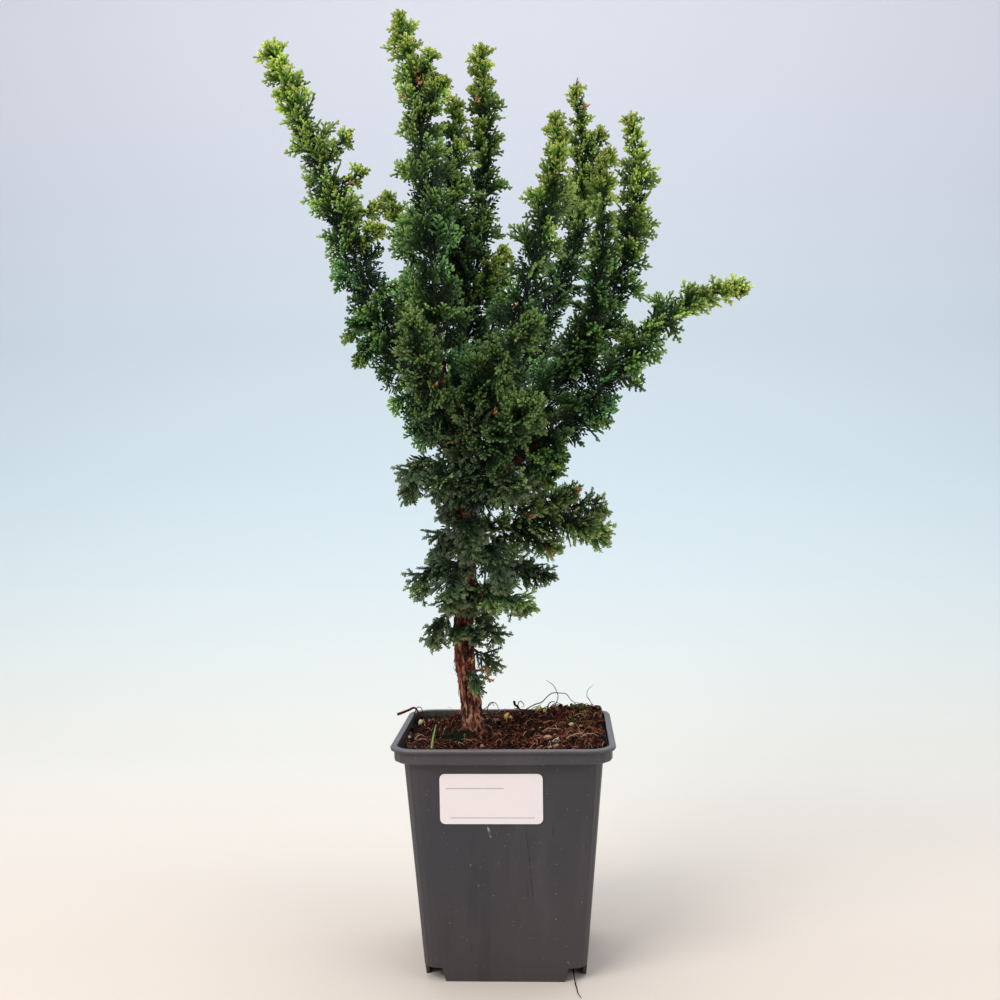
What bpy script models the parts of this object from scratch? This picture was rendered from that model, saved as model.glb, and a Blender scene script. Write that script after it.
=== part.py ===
"""A young hinoki cypress grown as a bonsai, in a square plastic nursery pot.

Blender 4.5, metres, +Z up. The origin is the middle of the pot's footprint on the table,
and -Y is the front, where the label sits. Run: blender --background --python part.py
"""

import math
import random

import bmesh
import bpy
from mathutils import Matrix, Vector
from mathutils.bvhtree import BVHTree
from mathutils.noise import noise

MM = 0.001
GAP = 0.3 * MM  # between pieces that touch on the real plant

# The pot: a one litre square, 110 mm across its lip
LIP_HALF = 55.2 * MM
LIP_TOP = 117.5 * MM
LIP_HEIGHT = 1.7 * MM
COLLAR_HALF = 53.5 * MM
COLLAR_FOOT = 110.0 * MM
WALL_HALF_TOP = 49.0 * MM
WALL_HALF_FOOT = 39.9 * MM
WALL = 1.5 * MM
FLOOR_TOP = 9.0 * MM
FLOOR_UNDER = 7.3 * MM
CORNER_TOP = 11.0 * MM
CORNER_FOOT = 8.0 * MM
CORNER_STEPS = 4

# The four skirts that the pot stands on, between its cut corners
SKIRT_HALF = 29.2 * MM
SKIRT_SLANT = 1.9 * MM
NOTCH_HEIGHT = 6.9 * MM
DRAIN_RADIUS = 4.0 * MM
DRAIN_PLACE = 23.0 * MM

# The sticker on the front wall
LABEL_WIDTH = 50.0 * MM
LABEL_HEIGHT = 25.0 * MM
LABEL_THICK = 0.3 * MM
LABEL_CORNER = 2.5 * MM
LABEL_X = -5.6 * MM
LABEL_Z = 92.5 * MM

# The peat, heaped towards the back right corner
SOIL_EDGE = 113.6 * MM
SOIL_HEAP = 3.2 * MM
SOIL_SIDE = 1.0 * MM  # how much lower the peat lies along the wall
SOIL_LUMPS = ((55.0, 1.6 * MM), (150.0, 0.7 * MM))  # waves a metre, and height
SOIL_RINGS = (0.93, 0.8, 0.64, 0.47, 0.3, 0.12)

# The trunk: points along its middle in millimetres, and its radius at each
TRUNK = (
    (-16, -1, 88, 5.5),
    (-16, -1, 104, 5.8),
    (-16, -1, 114, 5.6),
    (-18, -2, 133, 4.9),
    (-21, -2, 156, 4.7),
    (-21, -1, 180, 4.6),
    (-19, 0, 205, 4.3),
    (-21, 0, 226, 4.0),
    (-22, 1, 242, 3.6),
    (-23, 3, 259, 3.0),
    (-25, 5, 272, 2.4),
)
HOLE_RADIUS = 6.6 * MM
HOLE_FOOT = 87.6 * MM

# Every leafy branch: name, points along it in millimetres, the bare wood at its start,
# how far its sprays reach from it at the start and at the tip, and how much they droop.
# A second row with the same name is a side shoot of that branch, with no bare wood.
BRANCHES = (
    ("leader_left", ((-22, -1, 243), (-31, 1, 267), (-47, 4, 296), (-62, 7, 330),
                     (-77, 11, 367), (-92, 14, 407), (-106, 15, 442), (-121, 17, 473)),
     26, 21, 8, 0.5),
    ("leader_tall", ((-23, -1, 267), (-28, -7, 290), (-32, -11, 323), (-35, -14, 363),
                     (-37, -12, 398), (-42, -8, 442), (-49, -6, 478)),
     20, 20, 8, 0.2),
    ("leader_tall", ((-32, -11, 323), (-42, 2, 345), (-51, 14, 372), (-60, 17, 396)),
     0, 9, 5, 0.1),
    ("leader_middle", ((-23, 4, 267), (-21, 13, 304), (-16, 19, 341), (-11, 24, 389),
                       (-9, 24, 436), (-11, 20, 470)),
     17, 18, 8, 0.2),
    ("leader_middle", ((-19, 17, 325), (-23, 7, 366), (-24, 3, 401), (-23, 5, 440)),
     0, 13, 7, 0.2),
    ("leader_front", ((-21, -5, 252), (-6, -20, 282), (8, -32, 318), (17, -37, 353),
                      (27, -39, 389), (30, -37, 421)),
     21, 19, 6, 0.2),
    ("leader_back", ((-24, 5, 259), (-7, 28, 283), (16, 47, 322), (35, 56, 364), (43, 58, 411),
                     (40, 54, 459)),
     28, 16, 5, 0.2),
    ("leader_right", ((-22, 3, 246), (1, 4, 267), (31, 3, 297), (53, 2, 333), (66, 1, 368),
                      (70, 1, 404), (67, 3, 429)),
     28, 20, 6, 0.3),
    ("leader_right", ((31, 3, 297), (44, -10, 322), (50, -16, 351), (52, -18, 380),
                      (52, -18, 405)),
     0, 13, 5, 0.2),
    ("leader_outer", ((-21, 1, 241), (2, 0, 253), (35, -5, 278), (61, -11, 305), (80, -17, 325),
                      (99, -22, 336), (120, -25, 340)),
     30, 19, 6, 0.4),
    ("leader_rear_middle", ((-24, 7, 267), (-17, 35, 289), (-9, 60, 323), (-4, 76, 367)),
     24, 17, 6, 0.3),
    ("leader_rear_left", ((-23, 1, 252), (-35, 29, 278), (-50, 52, 318), (-60, 61, 354)),
     24, 17, 6, 0.4),
    ("leader_rear_right", ((-22, 2, 246), (-4, 36, 267), (18, 61, 295), (43, 78, 328)),
     28, 17, 6, 0.4),
    ("cluster_front_upper", ((-22, 1, 262), (-12, -35, 286), (4, -58, 307), (18, -72, 320)),
     24, 16, 7, 0.4),
    ("cluster_front_low", ((-21, -2, 246), (-7, -34, 260), (7, -62, 273), (18, -76, 282)),
     24, 17, 8, 0.5),
    ("cluster_front_left", ((-23, 1, 257), (-29, -35, 281), (-36, -60, 303), (-39, -71, 321)),
     24, 17, 8, 0.4),
    ("cluster_right", ((-21, 1, 232), (-5, 16, 242), (13, 27, 247), (26, 31, 251)),
     18, 16, 8, 0.6),
    ("spray_left_high", ((-21, -1, 235), (-30, -13, 252), (-38, -20, 258), (-44, -22, 253),
                         (-47, -22, 240)),
     11, 12, 7, 0.6),
    ("spray_right_high", ((-21, -1, 219), (1, -6, 222), (21, -7, 226), (38, -8, 225),
                          (49, -8, 219)),
     18, 16, 9, 0.7),
    ("spray_front_left", ((-21, -1, 237), (-23, -21, 245), (-25, -37, 250), (-28, -49, 247)),
     11, 16, 9, 0.6),
    ("spray_front_middle", ((-22, -3, 254), (-20, -25, 262), (-15, -41, 269), (-12, -53, 276)),
     11, 16, 9, 0.5),
    ("spray_front_right", ((-21, -1, 239), (-11, -20, 244), (0, -38, 248), (9, -52, 245)),
     11, 17, 9, 0.6),
    ("column_front_high", ((-21, -1, 225), (-18, -21, 228), (-16, -29, 222), (-15, -31, 211)),
     9, 11, 7, 0.7),
    ("column_back_high", ((-21, -1, 227), (-19, 23, 230), (-15, 35, 224), (-14, 39, 212)),
     9, 12, 7, 0.7),
    ("column_left", ((-21, -1, 222), (-27, -4, 224), (-32, -6, 219), (-35, -6, 210)),
     7, 9, 6, 0.7),
    ("column_front_right", ((-20, -1, 213), (-9, -18, 215), (-2, -26, 208), (0, -28, 195)),
     9, 11, 7, 0.7),
    ("column_back_left", ((-21, -1, 212), (-29, 19, 218), (-34, 29, 211), (-36, 32, 203)),
     9, 11, 7, 0.7),
    ("column_front_mid", ((-20, -1, 204), (-23, -19, 205), (-25, -27, 197), (-26, -29, 185)),
     9, 11, 7, 0.7),
    ("spray_right_dark", ((-20, -1, 205), (-3, 12, 203), (11, 16, 199), (22, 19, 195)),
     9, 12, 8, 0.5),
    ("spray_left_mid", ((-21, -1, 202), (-31, -9, 205), (-38, -14, 201), (-43, -16, 193)),
     9, 10, 7, 0.6),
    ("spray_right_bright", ((-20, -1, 193), (-7, -20, 192), (5, -28, 188), (13, -29, 184)),
     9, 11, 8, 0.5),
    ("column_back_low", ((-20, -1, 190), (-15, 17, 190), (-12, 26, 182), (-11, 28, 174)),
     9, 10, 6, 0.7),
    ("spray_left_low", ((-21, -1, 178), (-29, -9, 178), (-34, -11, 173), (-36, -12, 166)),
     8, 9, 6, 0.6),
    ("spray_right_low", ((-21, -1, 178), (-13, -9, 175), (-7, -12, 171), (-3, -12, 167)),
     8, 8, 6, 0.6),
    ("spray_right_lowest", ((-21, -1, 161), (-15, -7, 159), (-9, -8, 156), (-6, -8, 152)),
     8, 7, 5, 0.6),
    ("spray_trunk_front", ((-20, -3, 149), (-18, -12, 149), (-15, -14, 146), (-15, -14, 141)),
     8, 6, 4, 0.6),
)

# Bare wood, and the tufts that cover each leafy branch
LIMB_RADIUS = 0.062  # of a branch's length, within the two limits below
LIMB_LEAST = 1.0 * MM
LIMB_MOST = 2.4 * MM
LIMB_STEP = 18.0 * MM
SLENDER = 1.5 * MM  # limbs under this radius have four sides
SEAT_LENGTH = 1.5 * MM  # where wood and core meet, both run straight this far
TUFT_STEP = 8.8 * MM  # along the branch, from one row of tufts to the next
TUFT_SHARE = 0.8  # of the reach: how far the tufts stand out
TUFT_VALLEY = 0.5  # of that, between the tufts
TUFT_SHORTEST = 0.85
TUFT_LONGEST = 1.3
TUFT_FORWARD = 0.35  # of a step, towards the branch's tip
TUFT_SWELL = 0.9  # how fast the leafy part thickens from the wood
TUFT_LEAST = 1.3 * MM
TUFT_CLEAR = 0.5 * MM
TUFT_END = 0.2  # the last row again, drawn in to this share and pushed on by it
WIDE_REACH = 12.5 * MM  # branches that reach further have ten sides, the others eight
GOLDEN_ANGLE = math.radians(137.5)

# The sprays: flat lobed blades, cut in towards their rib
BLADE_THICK = 0.9 * MM
BLADE_REACH = 1.15  # of the reach
BLADE_WIDTH = 0.95  # of its length
BLADE_CLEAR = 0.4 * MM
BLADE_ROLL = 0.6  # at most, in radians
BLADE_TIP_ROOT = 2.0 * MM  # how far behind the branch's tip its last spray starts
FIRST_BLADE = 3.0 * MM  # past the bare wood
LAST_BLADE = 0.6  # of the tip's reach, short of the tip
LEAST_LEAN = 0.6
BLADE_SPACING = 1.7  # along the stem, of the reach there
LEAST_SPACING = 14.0 * MM
OPEN_START = math.radians(68)
OPEN_TIP = math.radians(40)
HALF_OUTLINE = ((0.0, 0.1), (0.76, 0.46), (0.72, 0.14), (1.0, 0.13))
PLACING_TRIES = 14
RETRY_TURN = (0.3, 0.8)
RETRY_SHORTEN = 0.04

COLOURS = {
    "pot_plastic": ((0.062, 0.066, 0.076), 0.55),
    "peat": ((0.085, 0.030, 0.020), 0.95),
    "paper": ((0.85, 0.82, 0.82), 0.6),
    "bark": ((0.19, 0.062, 0.034), 0.85),
    "foliage": ((0.028, 0.085, 0.022), 0.6),
    "foliage_bluish": ((0.024, 0.066, 0.040), 0.6),
}


def clear_scene():
    for obj in list(bpy.data.objects):
        bpy.data.objects.remove(obj, do_unlink=True)


def make_collection(name):
    collection = bpy.data.collections.new(name)
    bpy.context.scene.collection.children.link(collection)
    return collection


def make_material(name):
    colour, roughness = COLOURS[name]
    material = bpy.data.materials.new(name)
    material.use_nodes = True
    shader = material.node_tree.nodes["Principled BSDF"]
    shader.inputs["Base Color"].default_value = (*colour, 1.0)
    shader.inputs["Roughness"].default_value = roughness
    shader.inputs["Metallic"].default_value = 0.0
    material.diffuse_color = (*colour, 1.0)
    return material


def object_from(bm, name, collection):
    """An object with the bmesh's shape, its faces turned outwards."""
    bmesh.ops.recalc_face_normals(bm, faces=bm.faces)
    mesh = bpy.data.meshes.new(name)
    bm.to_mesh(mesh)
    bm.free()
    obj = bpy.data.objects.new(name, mesh)
    collection.objects.link(obj)
    return obj


def finish(obj, material, sharp_angle):
    obj.data.materials.clear()
    obj.data.materials.append(material)
    obj.data.shade_smooth()
    obj.data.set_sharp_from_angle(angle=math.radians(sharp_angle))


def evaluated_mesh(obj):
    bpy.context.view_layer.update()
    graph = bpy.context.evaluated_depsgraph_get()
    return bpy.data.meshes.new_from_object(obj.evaluated_get(graph))


def as_helper(obj):
    obj.hide_render = True
    obj.display_type = "WIRE"


def keep_largest_body(mesh):
    """Fills any hollow that a union sealed and drops any scrap that it cut loose."""
    bm = bmesh.new()
    bm.from_mesh(mesh)
    unseen = set(bm.verts)
    bodies = []
    while unseen:
        body, edge = set(), {unseen.pop()}
        while edge:
            body |= edge
            edge = {e.other_vert(v) for v in edge for e in v.link_edges} - body
        unseen -= body
        bodies.append(body)
    largest = max(bodies, key=len)
    others = [vert for vert in bm.verts if vert not in largest]
    bmesh.ops.delete(bm, geom=others, context="VERTS")
    bm.to_mesh(mesh)
    bm.free()


def fuse(name, pieces, target):
    """One Boolean union of the pieces, which are then removed."""
    group = bpy.data.collections.new(name + "_pieces")
    bpy.context.scene.collection.children.link(group)
    first, others = pieces[0], pieces[1:]
    for piece in others:
        for owner in list(piece.users_collection):
            owner.objects.unlink(piece)
        group.objects.link(piece)
    union = first.modifiers.new("union", "BOOLEAN")
    union.operation = "UNION"
    union.operand_type = "COLLECTION"
    union.collection = group
    union.solver = "EXACT"
    mesh = evaluated_mesh(first)
    mesh.name = name
    keep_largest_body(mesh)
    for piece in pieces:
        bpy.data.objects.remove(piece, do_unlink=True)
    bpy.data.collections.remove(group)
    joined = bpy.data.objects.new(name, mesh)
    target.objects.link(joined)
    return joined


def cut(obj, cutter, name):
    difference = obj.modifiers.new(name, "BOOLEAN")
    difference.operation = "DIFFERENCE"
    difference.object = cutter
    difference.solver = "EXACT"


def rounded_square(half, radius, height, steps=CORNER_STEPS):
    """The points of one level ring, a square with round corners."""
    ring = []
    for corner in range(4):
        start = corner * math.pi / 2
        centre = half - radius
        middle = Vector((centre, centre, 0))
        middle.rotate(Matrix.Rotation(start, 3, "Z"))
        for step in range(steps + 1):
            angle = start + step / steps * math.pi / 2
            ring.append(middle + radius * Vector((math.cos(angle), math.sin(angle), 0)))
    return [Vector((point.x, point.y, height)) for point in ring]


def loft(rings):
    """A closed skin through rings of equally many points, with a flat cap at each end."""
    bm = bmesh.new()
    rows = [[bm.verts.new(point) for point in ring] for ring in rings]
    for lower, upper in zip(rows, rows[1:]):
        for index in range(len(lower)):
            following = (index + 1) % len(lower)
            bm.faces.new((lower[index], lower[following], upper[following], upper[index]))
    bm.faces.new(rows[0])
    bm.faces.new(rows[-1])
    return bm


def wall_half(height):
    """Half the pot's outer width below the collar."""
    return WALL_HALF_FOOT + (WALL_HALF_TOP - WALL_HALF_FOOT) * height / COLLAR_FOOT


def corner_cutter(index, cutters):
    """A block with slanted sides that cuts one corner off the pot's foot."""
    bm = bmesh.new()
    bmesh.ops.create_cube(bm, size=1.0)
    outside = WALL_HALF_TOP + 10 * MM
    below = 2 * MM
    for vert in bm.verts:
        high = vert.co.z > 0
        inner = SKIRT_HALF + (SKIRT_SLANT if high else -SKIRT_SLANT * below / NOTCH_HEIGHT)
        vert.co.x = outside if vert.co.x > 0 else inner
        vert.co.y = outside if vert.co.y > 0 else inner
        vert.co.z = NOTCH_HEIGHT if high else -below
    bmesh.ops.rotate(bm, verts=bm.verts, matrix=Matrix.Rotation(index * math.pi / 2, 3, "Z"))
    cutter = object_from(bm, f"corner_cut_{index}", cutters)
    as_helper(cutter)
    return cutter


def drain_cutter(x, y, name, cutters):
    bm = bmesh.new()
    bmesh.ops.create_cone(
        bm,
        cap_ends=True,
        segments=12,
        radius1=DRAIN_RADIUS,
        radius2=DRAIN_RADIUS,
        depth=8 * MM,
        matrix=Matrix.Translation((x, y, FLOOR_UNDER)),
    )
    cutter = object_from(bm, name, cutters)
    as_helper(cutter)
    return cutter


def make_pot(parts, cutters, material):
    """The shell from under its floor, round its foot, up to the lip and down inside."""
    under = 0.6 * MM
    profile = (
        (WALL_HALF_FOOT - WALL, CORNER_FOOT - WALL, FLOOR_UNDER),
        (WALL_HALF_FOOT - WALL, CORNER_FOOT - WALL, 0.0),
        (WALL_HALF_FOOT, CORNER_FOOT, 0.0),
        (wall_half(NOTCH_HEIGHT), CORNER_FOOT, NOTCH_HEIGHT),
        (WALL_HALF_TOP, CORNER_TOP, COLLAR_FOOT),
        (COLLAR_HALF - under, CORNER_TOP + 3 * MM, COLLAR_FOOT),
        (COLLAR_HALF, CORNER_TOP + 3 * MM, COLLAR_FOOT + under),
        (COLLAR_HALF, CORNER_TOP + 2 * MM, LIP_TOP - LIP_HEIGHT),
        (LIP_HALF - 0.3 * MM, CORNER_TOP + 2 * MM, LIP_TOP - LIP_HEIGHT),
        (LIP_HALF, CORNER_TOP + 2 * MM, LIP_TOP - LIP_HEIGHT / 2),
        (LIP_HALF - 0.5 * MM, CORNER_TOP + 2 * MM, LIP_TOP),
        (COLLAR_HALF - WALL, CORNER_TOP, LIP_TOP),
        (COLLAR_HALF - WALL, CORNER_TOP, COLLAR_FOOT + WALL),
        (WALL_HALF_TOP - WALL, CORNER_TOP - WALL, COLLAR_FOOT + WALL - under),
        (wall_half(FLOOR_TOP) - WALL, CORNER_FOOT - WALL, FLOOR_TOP),
    )
    rings = [rounded_square(half, radius, height) for half, radius, height in profile]
    pot = object_from(loft(rings), "pot", parts)
    for index in range(4):
        cut(pot, corner_cutter(index, cutters), f"corner_{index}")
    places = [(0.0, 0.0)]
    places += [(x * DRAIN_PLACE, y * DRAIN_PLACE) for x in (-1, 1) for y in (-1, 1)]
    for index, (x, y) in enumerate(places):
        cut(pot, drain_cutter(x, y, f"drain_cut_{index}", cutters), f"drain_{index}")
    finish(pot, material, 30)
    return pot


def soil_height(x, y):
    """The peat's surface: lumps, and a heap at the back right."""
    heap = max(0.0, (x + y) / (2 * COLLAR_HALF) + 0.25)
    lumps = sum(height * noise(Vector((x, y, 0.0)) * waves) for waves, height in SOIL_LUMPS)
    return SOIL_EDGE + SOIL_HEAP * heap + lumps


def make_soil(parts, cutters, material):
    """The peat inside the pot, with a plain hole for the trunk."""
    steps = 5
    inner = COLLAR_HALF - WALL - GAP
    shoulder = COLLAR_FOOT + WALL + GAP
    neck = WALL_HALF_TOP - WALL - GAP
    profile = (
        (wall_half(FLOOR_TOP) - WALL - GAP, CORNER_FOOT - WALL, FLOOR_TOP + GAP),
        (neck, CORNER_TOP - WALL, COLLAR_FOOT + WALL),
        (neck + 0.4 * MM, CORNER_TOP - WALL, shoulder),
        (inner, CORNER_TOP, shoulder),
    )
    rings = [rounded_square(half, radius, z, steps) for half, radius, z in profile]
    edge = rounded_square(inner, CORNER_TOP, SOIL_EDGE, steps)
    rings.append([Vector((p.x, p.y, soil_height(p.x, p.y) - SOIL_SIDE)) for p in edge])
    for share in SOIL_RINGS:
        ring = [point * share for point in edge]
        rings.append([Vector((p.x, p.y, soil_height(p.x, p.y))) for p in ring])
    soil = object_from(loft(rings), "soil", parts)
    bm = bmesh.new()
    depth = SOIL_EDGE - HOLE_FOOT + 20 * MM
    bmesh.ops.create_cone(
        bm,
        cap_ends=True,
        segments=16,
        radius1=HOLE_RADIUS,
        radius2=HOLE_RADIUS,
        depth=depth,
        matrix=Matrix.Translation((TRUNK[1][0] * MM, TRUNK[1][1] * MM, HOLE_FOOT + depth / 2)),
    )
    cutter = object_from(bm, "trunk_hole_cut", cutters)
    as_helper(cutter)
    cut(soil, cutter, "trunk_hole")
    finish(soil, material, 60)
    return soil


def make_label(parts, material):
    """The sticker, a rounded rectangle that leans with the wall."""
    lean = math.atan2(WALL_HALF_TOP - WALL_HALF_FOOT, COLLAR_FOOT)
    curve = bpy.data.curves.new("label", "CURVE")
    curve.dimensions = "2D"
    curve.fill_mode = "BOTH"
    curve.extrude = LABEL_THICK / 2
    outline = []
    for corner, (side_x, side_y) in enumerate(((1, 1), (-1, 1), (-1, -1), (1, -1))):
        centre_x = side_x * (LABEL_WIDTH / 2 - LABEL_CORNER)
        centre_y = side_y * (LABEL_HEIGHT / 2 - LABEL_CORNER)
        for step in range(4):
            angle = (corner + step / 3) * math.pi / 2
            outline.append((centre_x + LABEL_CORNER * math.cos(angle),
                            centre_y + LABEL_CORNER * math.sin(angle)))
    spline = curve.splines.new("POLY")
    spline.points.add(len(outline) - 1)
    for point, (x, y) in zip(spline.points, outline):
        point.co = (x, y, 0.0, 1.0)
    spline.use_cyclic_u = True
    label = bpy.data.objects.new("label", curve)
    away = (GAP + LABEL_THICK / 2) / math.cos(lean)
    label.location = (LABEL_X, -wall_half(LABEL_Z) - away, LABEL_Z)
    label.rotation_euler = (math.pi / 2 + lean, 0.0, 0.0)
    parts.objects.link(label)
    curve.materials.append(material)
    return label


class Spine:
    """A smooth line through a branch's points, read by the length along it."""

    def __init__(self, points, step=2.0 * MM):
        ends = [2 * points[0] - points[1], *points, 2 * points[-1] - points[-2]]
        self.places = []
        for before, start, end, after in zip(ends, ends[1:], ends[2:], ends[3:]):
            count = max(2, round((end - start).length / step))
            for index in range(count):
                share = index / count
                self.places.append(between(before, start, end, after, share))
        self.places.append(points[-1].copy())
        self.lengths = [0.0]
        for first, second in zip(self.places, self.places[1:]):
            self.lengths.append(self.lengths[-1] + (second - first).length)
        self.length = self.lengths[-1]

    def at(self, distance):
        distance = min(max(distance, 0.0), self.length)
        for index in range(1, len(self.lengths)):
            if distance <= self.lengths[index]:
                break
        span = self.lengths[index] - self.lengths[index - 1]
        share = (distance - self.lengths[index - 1]) / span
        return self.places[index - 1].lerp(self.places[index], share)

    def along(self, distance):
        reach = 3.0 * MM
        return (self.at(distance + reach) - self.at(distance - reach)).normalized()


def between(before, start, end, after, share):
    """A point of the smooth curve that runs from start to end."""
    square = share * share
    cube = square * share
    return 0.5 * (
        2 * start
        + (end - before) * share
        + (2 * before - 5 * start + 4 * end - after) * square
        + (3 * start - before - 3 * end + after) * cube
    )


def vectors(points):
    return [Vector(point[:3]) * MM for point in points]


def tube(name, points, radii, resolution, collection):
    """A tapered tube with filled ends, as a welded mesh."""
    curve = bpy.data.curves.new(name, "CURVE")
    curve.dimensions = "3D"
    curve.bevel_depth = 1.0 * MM
    curve.bevel_resolution = resolution
    curve.use_fill_caps = True
    spline = curve.splines.new("POLY")
    spline.points.add(len(points) - 1)
    for target, point, radius in zip(spline.points, points, radii):
        target.co = (*point, 1.0)
        target.radius = radius / (1.0 * MM)
    holder = bpy.data.objects.new(name, curve)
    collection.objects.link(holder)
    mesh = evaluated_mesh(holder)
    bpy.data.objects.remove(holder, do_unlink=True)
    bm = bmesh.new()
    bm.from_mesh(mesh)
    bmesh.ops.remove_doubles(bm, verts=bm.verts, dist=0.01 * MM)
    return object_from(bm, name, collection)


class Branch:
    """One leafy branch with the sizes that its wood, stem and sprays share."""

    def __init__(self, name, points, bare, reach_start, reach_tip, droop):
        self.name = name
        self.spine = Spine(vectors(points))
        self.bare = bare * MM
        self.reach_start = reach_start * MM
        self.reach_tip = reach_tip * MM
        self.droop = droop
        thickness = LIMB_RADIUS * self.spine.length
        self.limb = min(max(thickness, LIMB_LEAST), LIMB_MOST)

    def seat(self, *offsets):
        """Places on the straight line through the bare wood's end, where the core starts."""
        end = self.spine.at(self.bare)
        direction = self.spine.along(self.bare)
        return [end + offset * direction for offset in offsets]

    def share(self, distance):
        return (distance - self.bare) / (self.spine.length - self.bare)

    def reach(self, distance):
        """How far the sprays stand out: full for the lower half, then tapering."""
        fall = max(0.0, self.share(distance)) ** 1.4
        return self.reach_start + (self.reach_tip - self.reach_start) * fall

    def tuft_sizes(self, distance, others):
        """How far the tufts stand out, and at most: half way to the next branch."""
        here = self.spine.at(distance)
        room = min((here - place).length for spine in others for place in spine.places)
        most = max(TUFT_LEAST, room / 2 - TUFT_CLEAR)
        swollen = self.limb + TUFT_SWELL * (distance - self.bare)
        usual = min(TUFT_SHARE * self.reach(distance), swollen)
        return max(TUFT_LEAST, min(usual, most)), most

    def around(self, distance, sides):
        """Unit vectors evenly round the branch, square to it."""
        along = self.spine.along(distance)
        across = Vector((1, 0, 0)) - along.x * along
        if across.length < 0.3:
            across = Vector((0, 1, 0)) - along.y * along
        across.normalize()
        other = along.cross(across)
        angles = [2 * math.pi * side / sides for side in range(sides)]
        return [math.cos(angle) * across + math.sin(angle) * other for angle in angles]


def make_wood(branches, parts, material):
    """The trunk and every bare limb, fused."""
    radii = [row[3] * MM for row in TRUNK]
    pieces = [tube("trunk", vectors(TRUNK), radii, 2, parts)]
    for branch in branches:
        if not branch.bare:
            continue
        count = max(1, round(branch.bare / LIMB_STEP))
        distances = [index / count * branch.bare for index in range(count)]
        places = [branch.spine.at(distance) for distance in distances]
        places += branch.seat(-SEAT_LENGTH, 0.0)
        distances += [branch.bare - SEAT_LENGTH, branch.bare]
        radii = [branch.limb * (1.3 - 0.3 * d / branch.bare) for d in distances]
        resolution = 1 if branch.limb > SLENDER else 0
        pieces.append(tube(branch.name + "_wood", places, radii, resolution, parts))
    wood = fuse("trunk_and_limbs", pieces, parts)
    finish(wood, material, 50)
    return wood


def tuft_row(branch, distance, sizes, row, sides, rng):
    """One ring of tuft tips and the valleys between them, by turns."""
    middle = branch.spine.at(distance)
    forward = TUFT_FORWARD * TUFT_STEP * branch.spine.along(distance)
    usual, most = sizes
    ring = []
    for side, out in enumerate(branch.around(distance, sides)):
        if (side + row) % 2:
            ring.append(middle + TUFT_VALLEY * usual * out)
            continue
        length = usual * rng.uniform(TUFT_SHORTEST, TUFT_LONGEST)
        ring.append(middle + min(length, most) * out + forward)
    return ring


def tuft_skin(rings):
    """A closed skin whose creases run through the valleys, so that each tuft is a peak."""
    bm = bmesh.new()
    rows = [[bm.verts.new(point) for point in ring] for ring in rings]
    for number, (lower, upper) in enumerate(zip(rows, rows[1:])):
        for index in range(len(lower)):
            following = (index + 1) % len(lower)
            a, b = lower[index], lower[following]
            c, d = upper[following], upper[index]
            if (index + number) % 2:
                bm.faces.new((a, b, c))
                bm.faces.new((a, c, d))
            else:
                bm.faces.new((a, b, d))
                bm.faces.new((b, c, d))
    bm.faces.new(rows[0])
    bm.faces.new(rows[-1])
    return bm


def seat_ring(branch, sides):
    """The small flat ring that faces the bare wood's end, or lies inside the parent."""
    start = branch.seat(GAP)[0]
    return [start + branch.limb * out for out in branch.around(branch.bare, sides)]


def make_tufts(branch, others, rng, parts):
    """The leafy mass of one branch: rows of tufts, raised from its surface by turns."""
    sides = 10 if branch.reach_start > WIDE_REACH else 8
    length = branch.spine.length - branch.bare
    count = max(3, round(length / TUFT_STEP))
    rings = [seat_ring(branch, sides)]
    for row in range(1, count):
        distance = branch.bare + row / count * length
        sizes = branch.tuft_sizes(distance, others)
        rings.append(tuft_row(branch, distance, sizes, row, sides, rng))
    end = branch.spine.at(branch.spine.length)
    forward = TUFT_END * (end - branch.spine.at(distance))
    rings.append([end.lerp(point, TUFT_END) + forward for point in rings[-1]])
    return object_from(tuft_skin(rings), branch.name + "_tufts", parts)


def blade_outline(length, rng):
    """The lobed outline of a spray, root at the origin, growing along X."""
    right, left = [], []
    for side, points in ((-1, right), (1, left)):
        for u, v in HALF_OUTLINE:
            out = length * u * rng.uniform(0.93, 1.07) if 0 < u < 1 else length * u
            across = length * BLADE_WIDTH * v * rng.uniform(0.88, 1.12)
            points.append((out, side * across))
    return right + left[::-1]


def blade_mesh(outline, thickness, grow=0.0):
    """A flat plate with the outline, grown by a margin to test its room."""
    bm = bmesh.new()
    length = max(u for u, _ in outline)
    scale = 1 + grow / length
    corners = [bm.verts.new((u * scale, v * scale, -thickness / 2)) for u, v in outline]
    face = bm.faces.new(corners)
    made = bmesh.ops.extrude_face_region(bm, geom=[face])
    top = [item for item in made["geom"] if isinstance(item, bmesh.types.BMVert)]
    bmesh.ops.translate(bm, verts=top, vec=(0, 0, thickness))
    return bm


def blade_matrix(root, direction, along, roll):
    """Places a blade: X along its direction, its face in line with the stem but for the roll."""
    side = along - along.dot(direction) * direction
    if side.length < 0.1:
        side = direction.cross(Vector((0, 1, 0)))
    side.normalize()
    side.rotate(Matrix.Rotation(roll, 3, direction))
    normal = direction.cross(side)
    rows = Matrix((direction, side, normal)).transposed()
    return Matrix.Translation(root) @ rows.to_4x4()


def touches(bm, trees):
    tree = BVHTree.FromBMesh(bm)
    return any(tree.overlap(other) for other in trees)


def spray_direction(branch, distance, angle):
    """Outwards and forwards from the stem, and hanging a little where it is old."""
    along = branch.spine.along(distance)
    across = along.orthogonal().normalized()
    across.rotate(Matrix.Rotation(angle, 3, along))
    share = branch.share(distance)
    opening = OPEN_START + (OPEN_TIP - OPEN_START) * share
    direction = math.cos(opening) * along + math.sin(opening) * across
    direction.z -= branch.droop * (1 - share)
    return direction.normalized()


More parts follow.
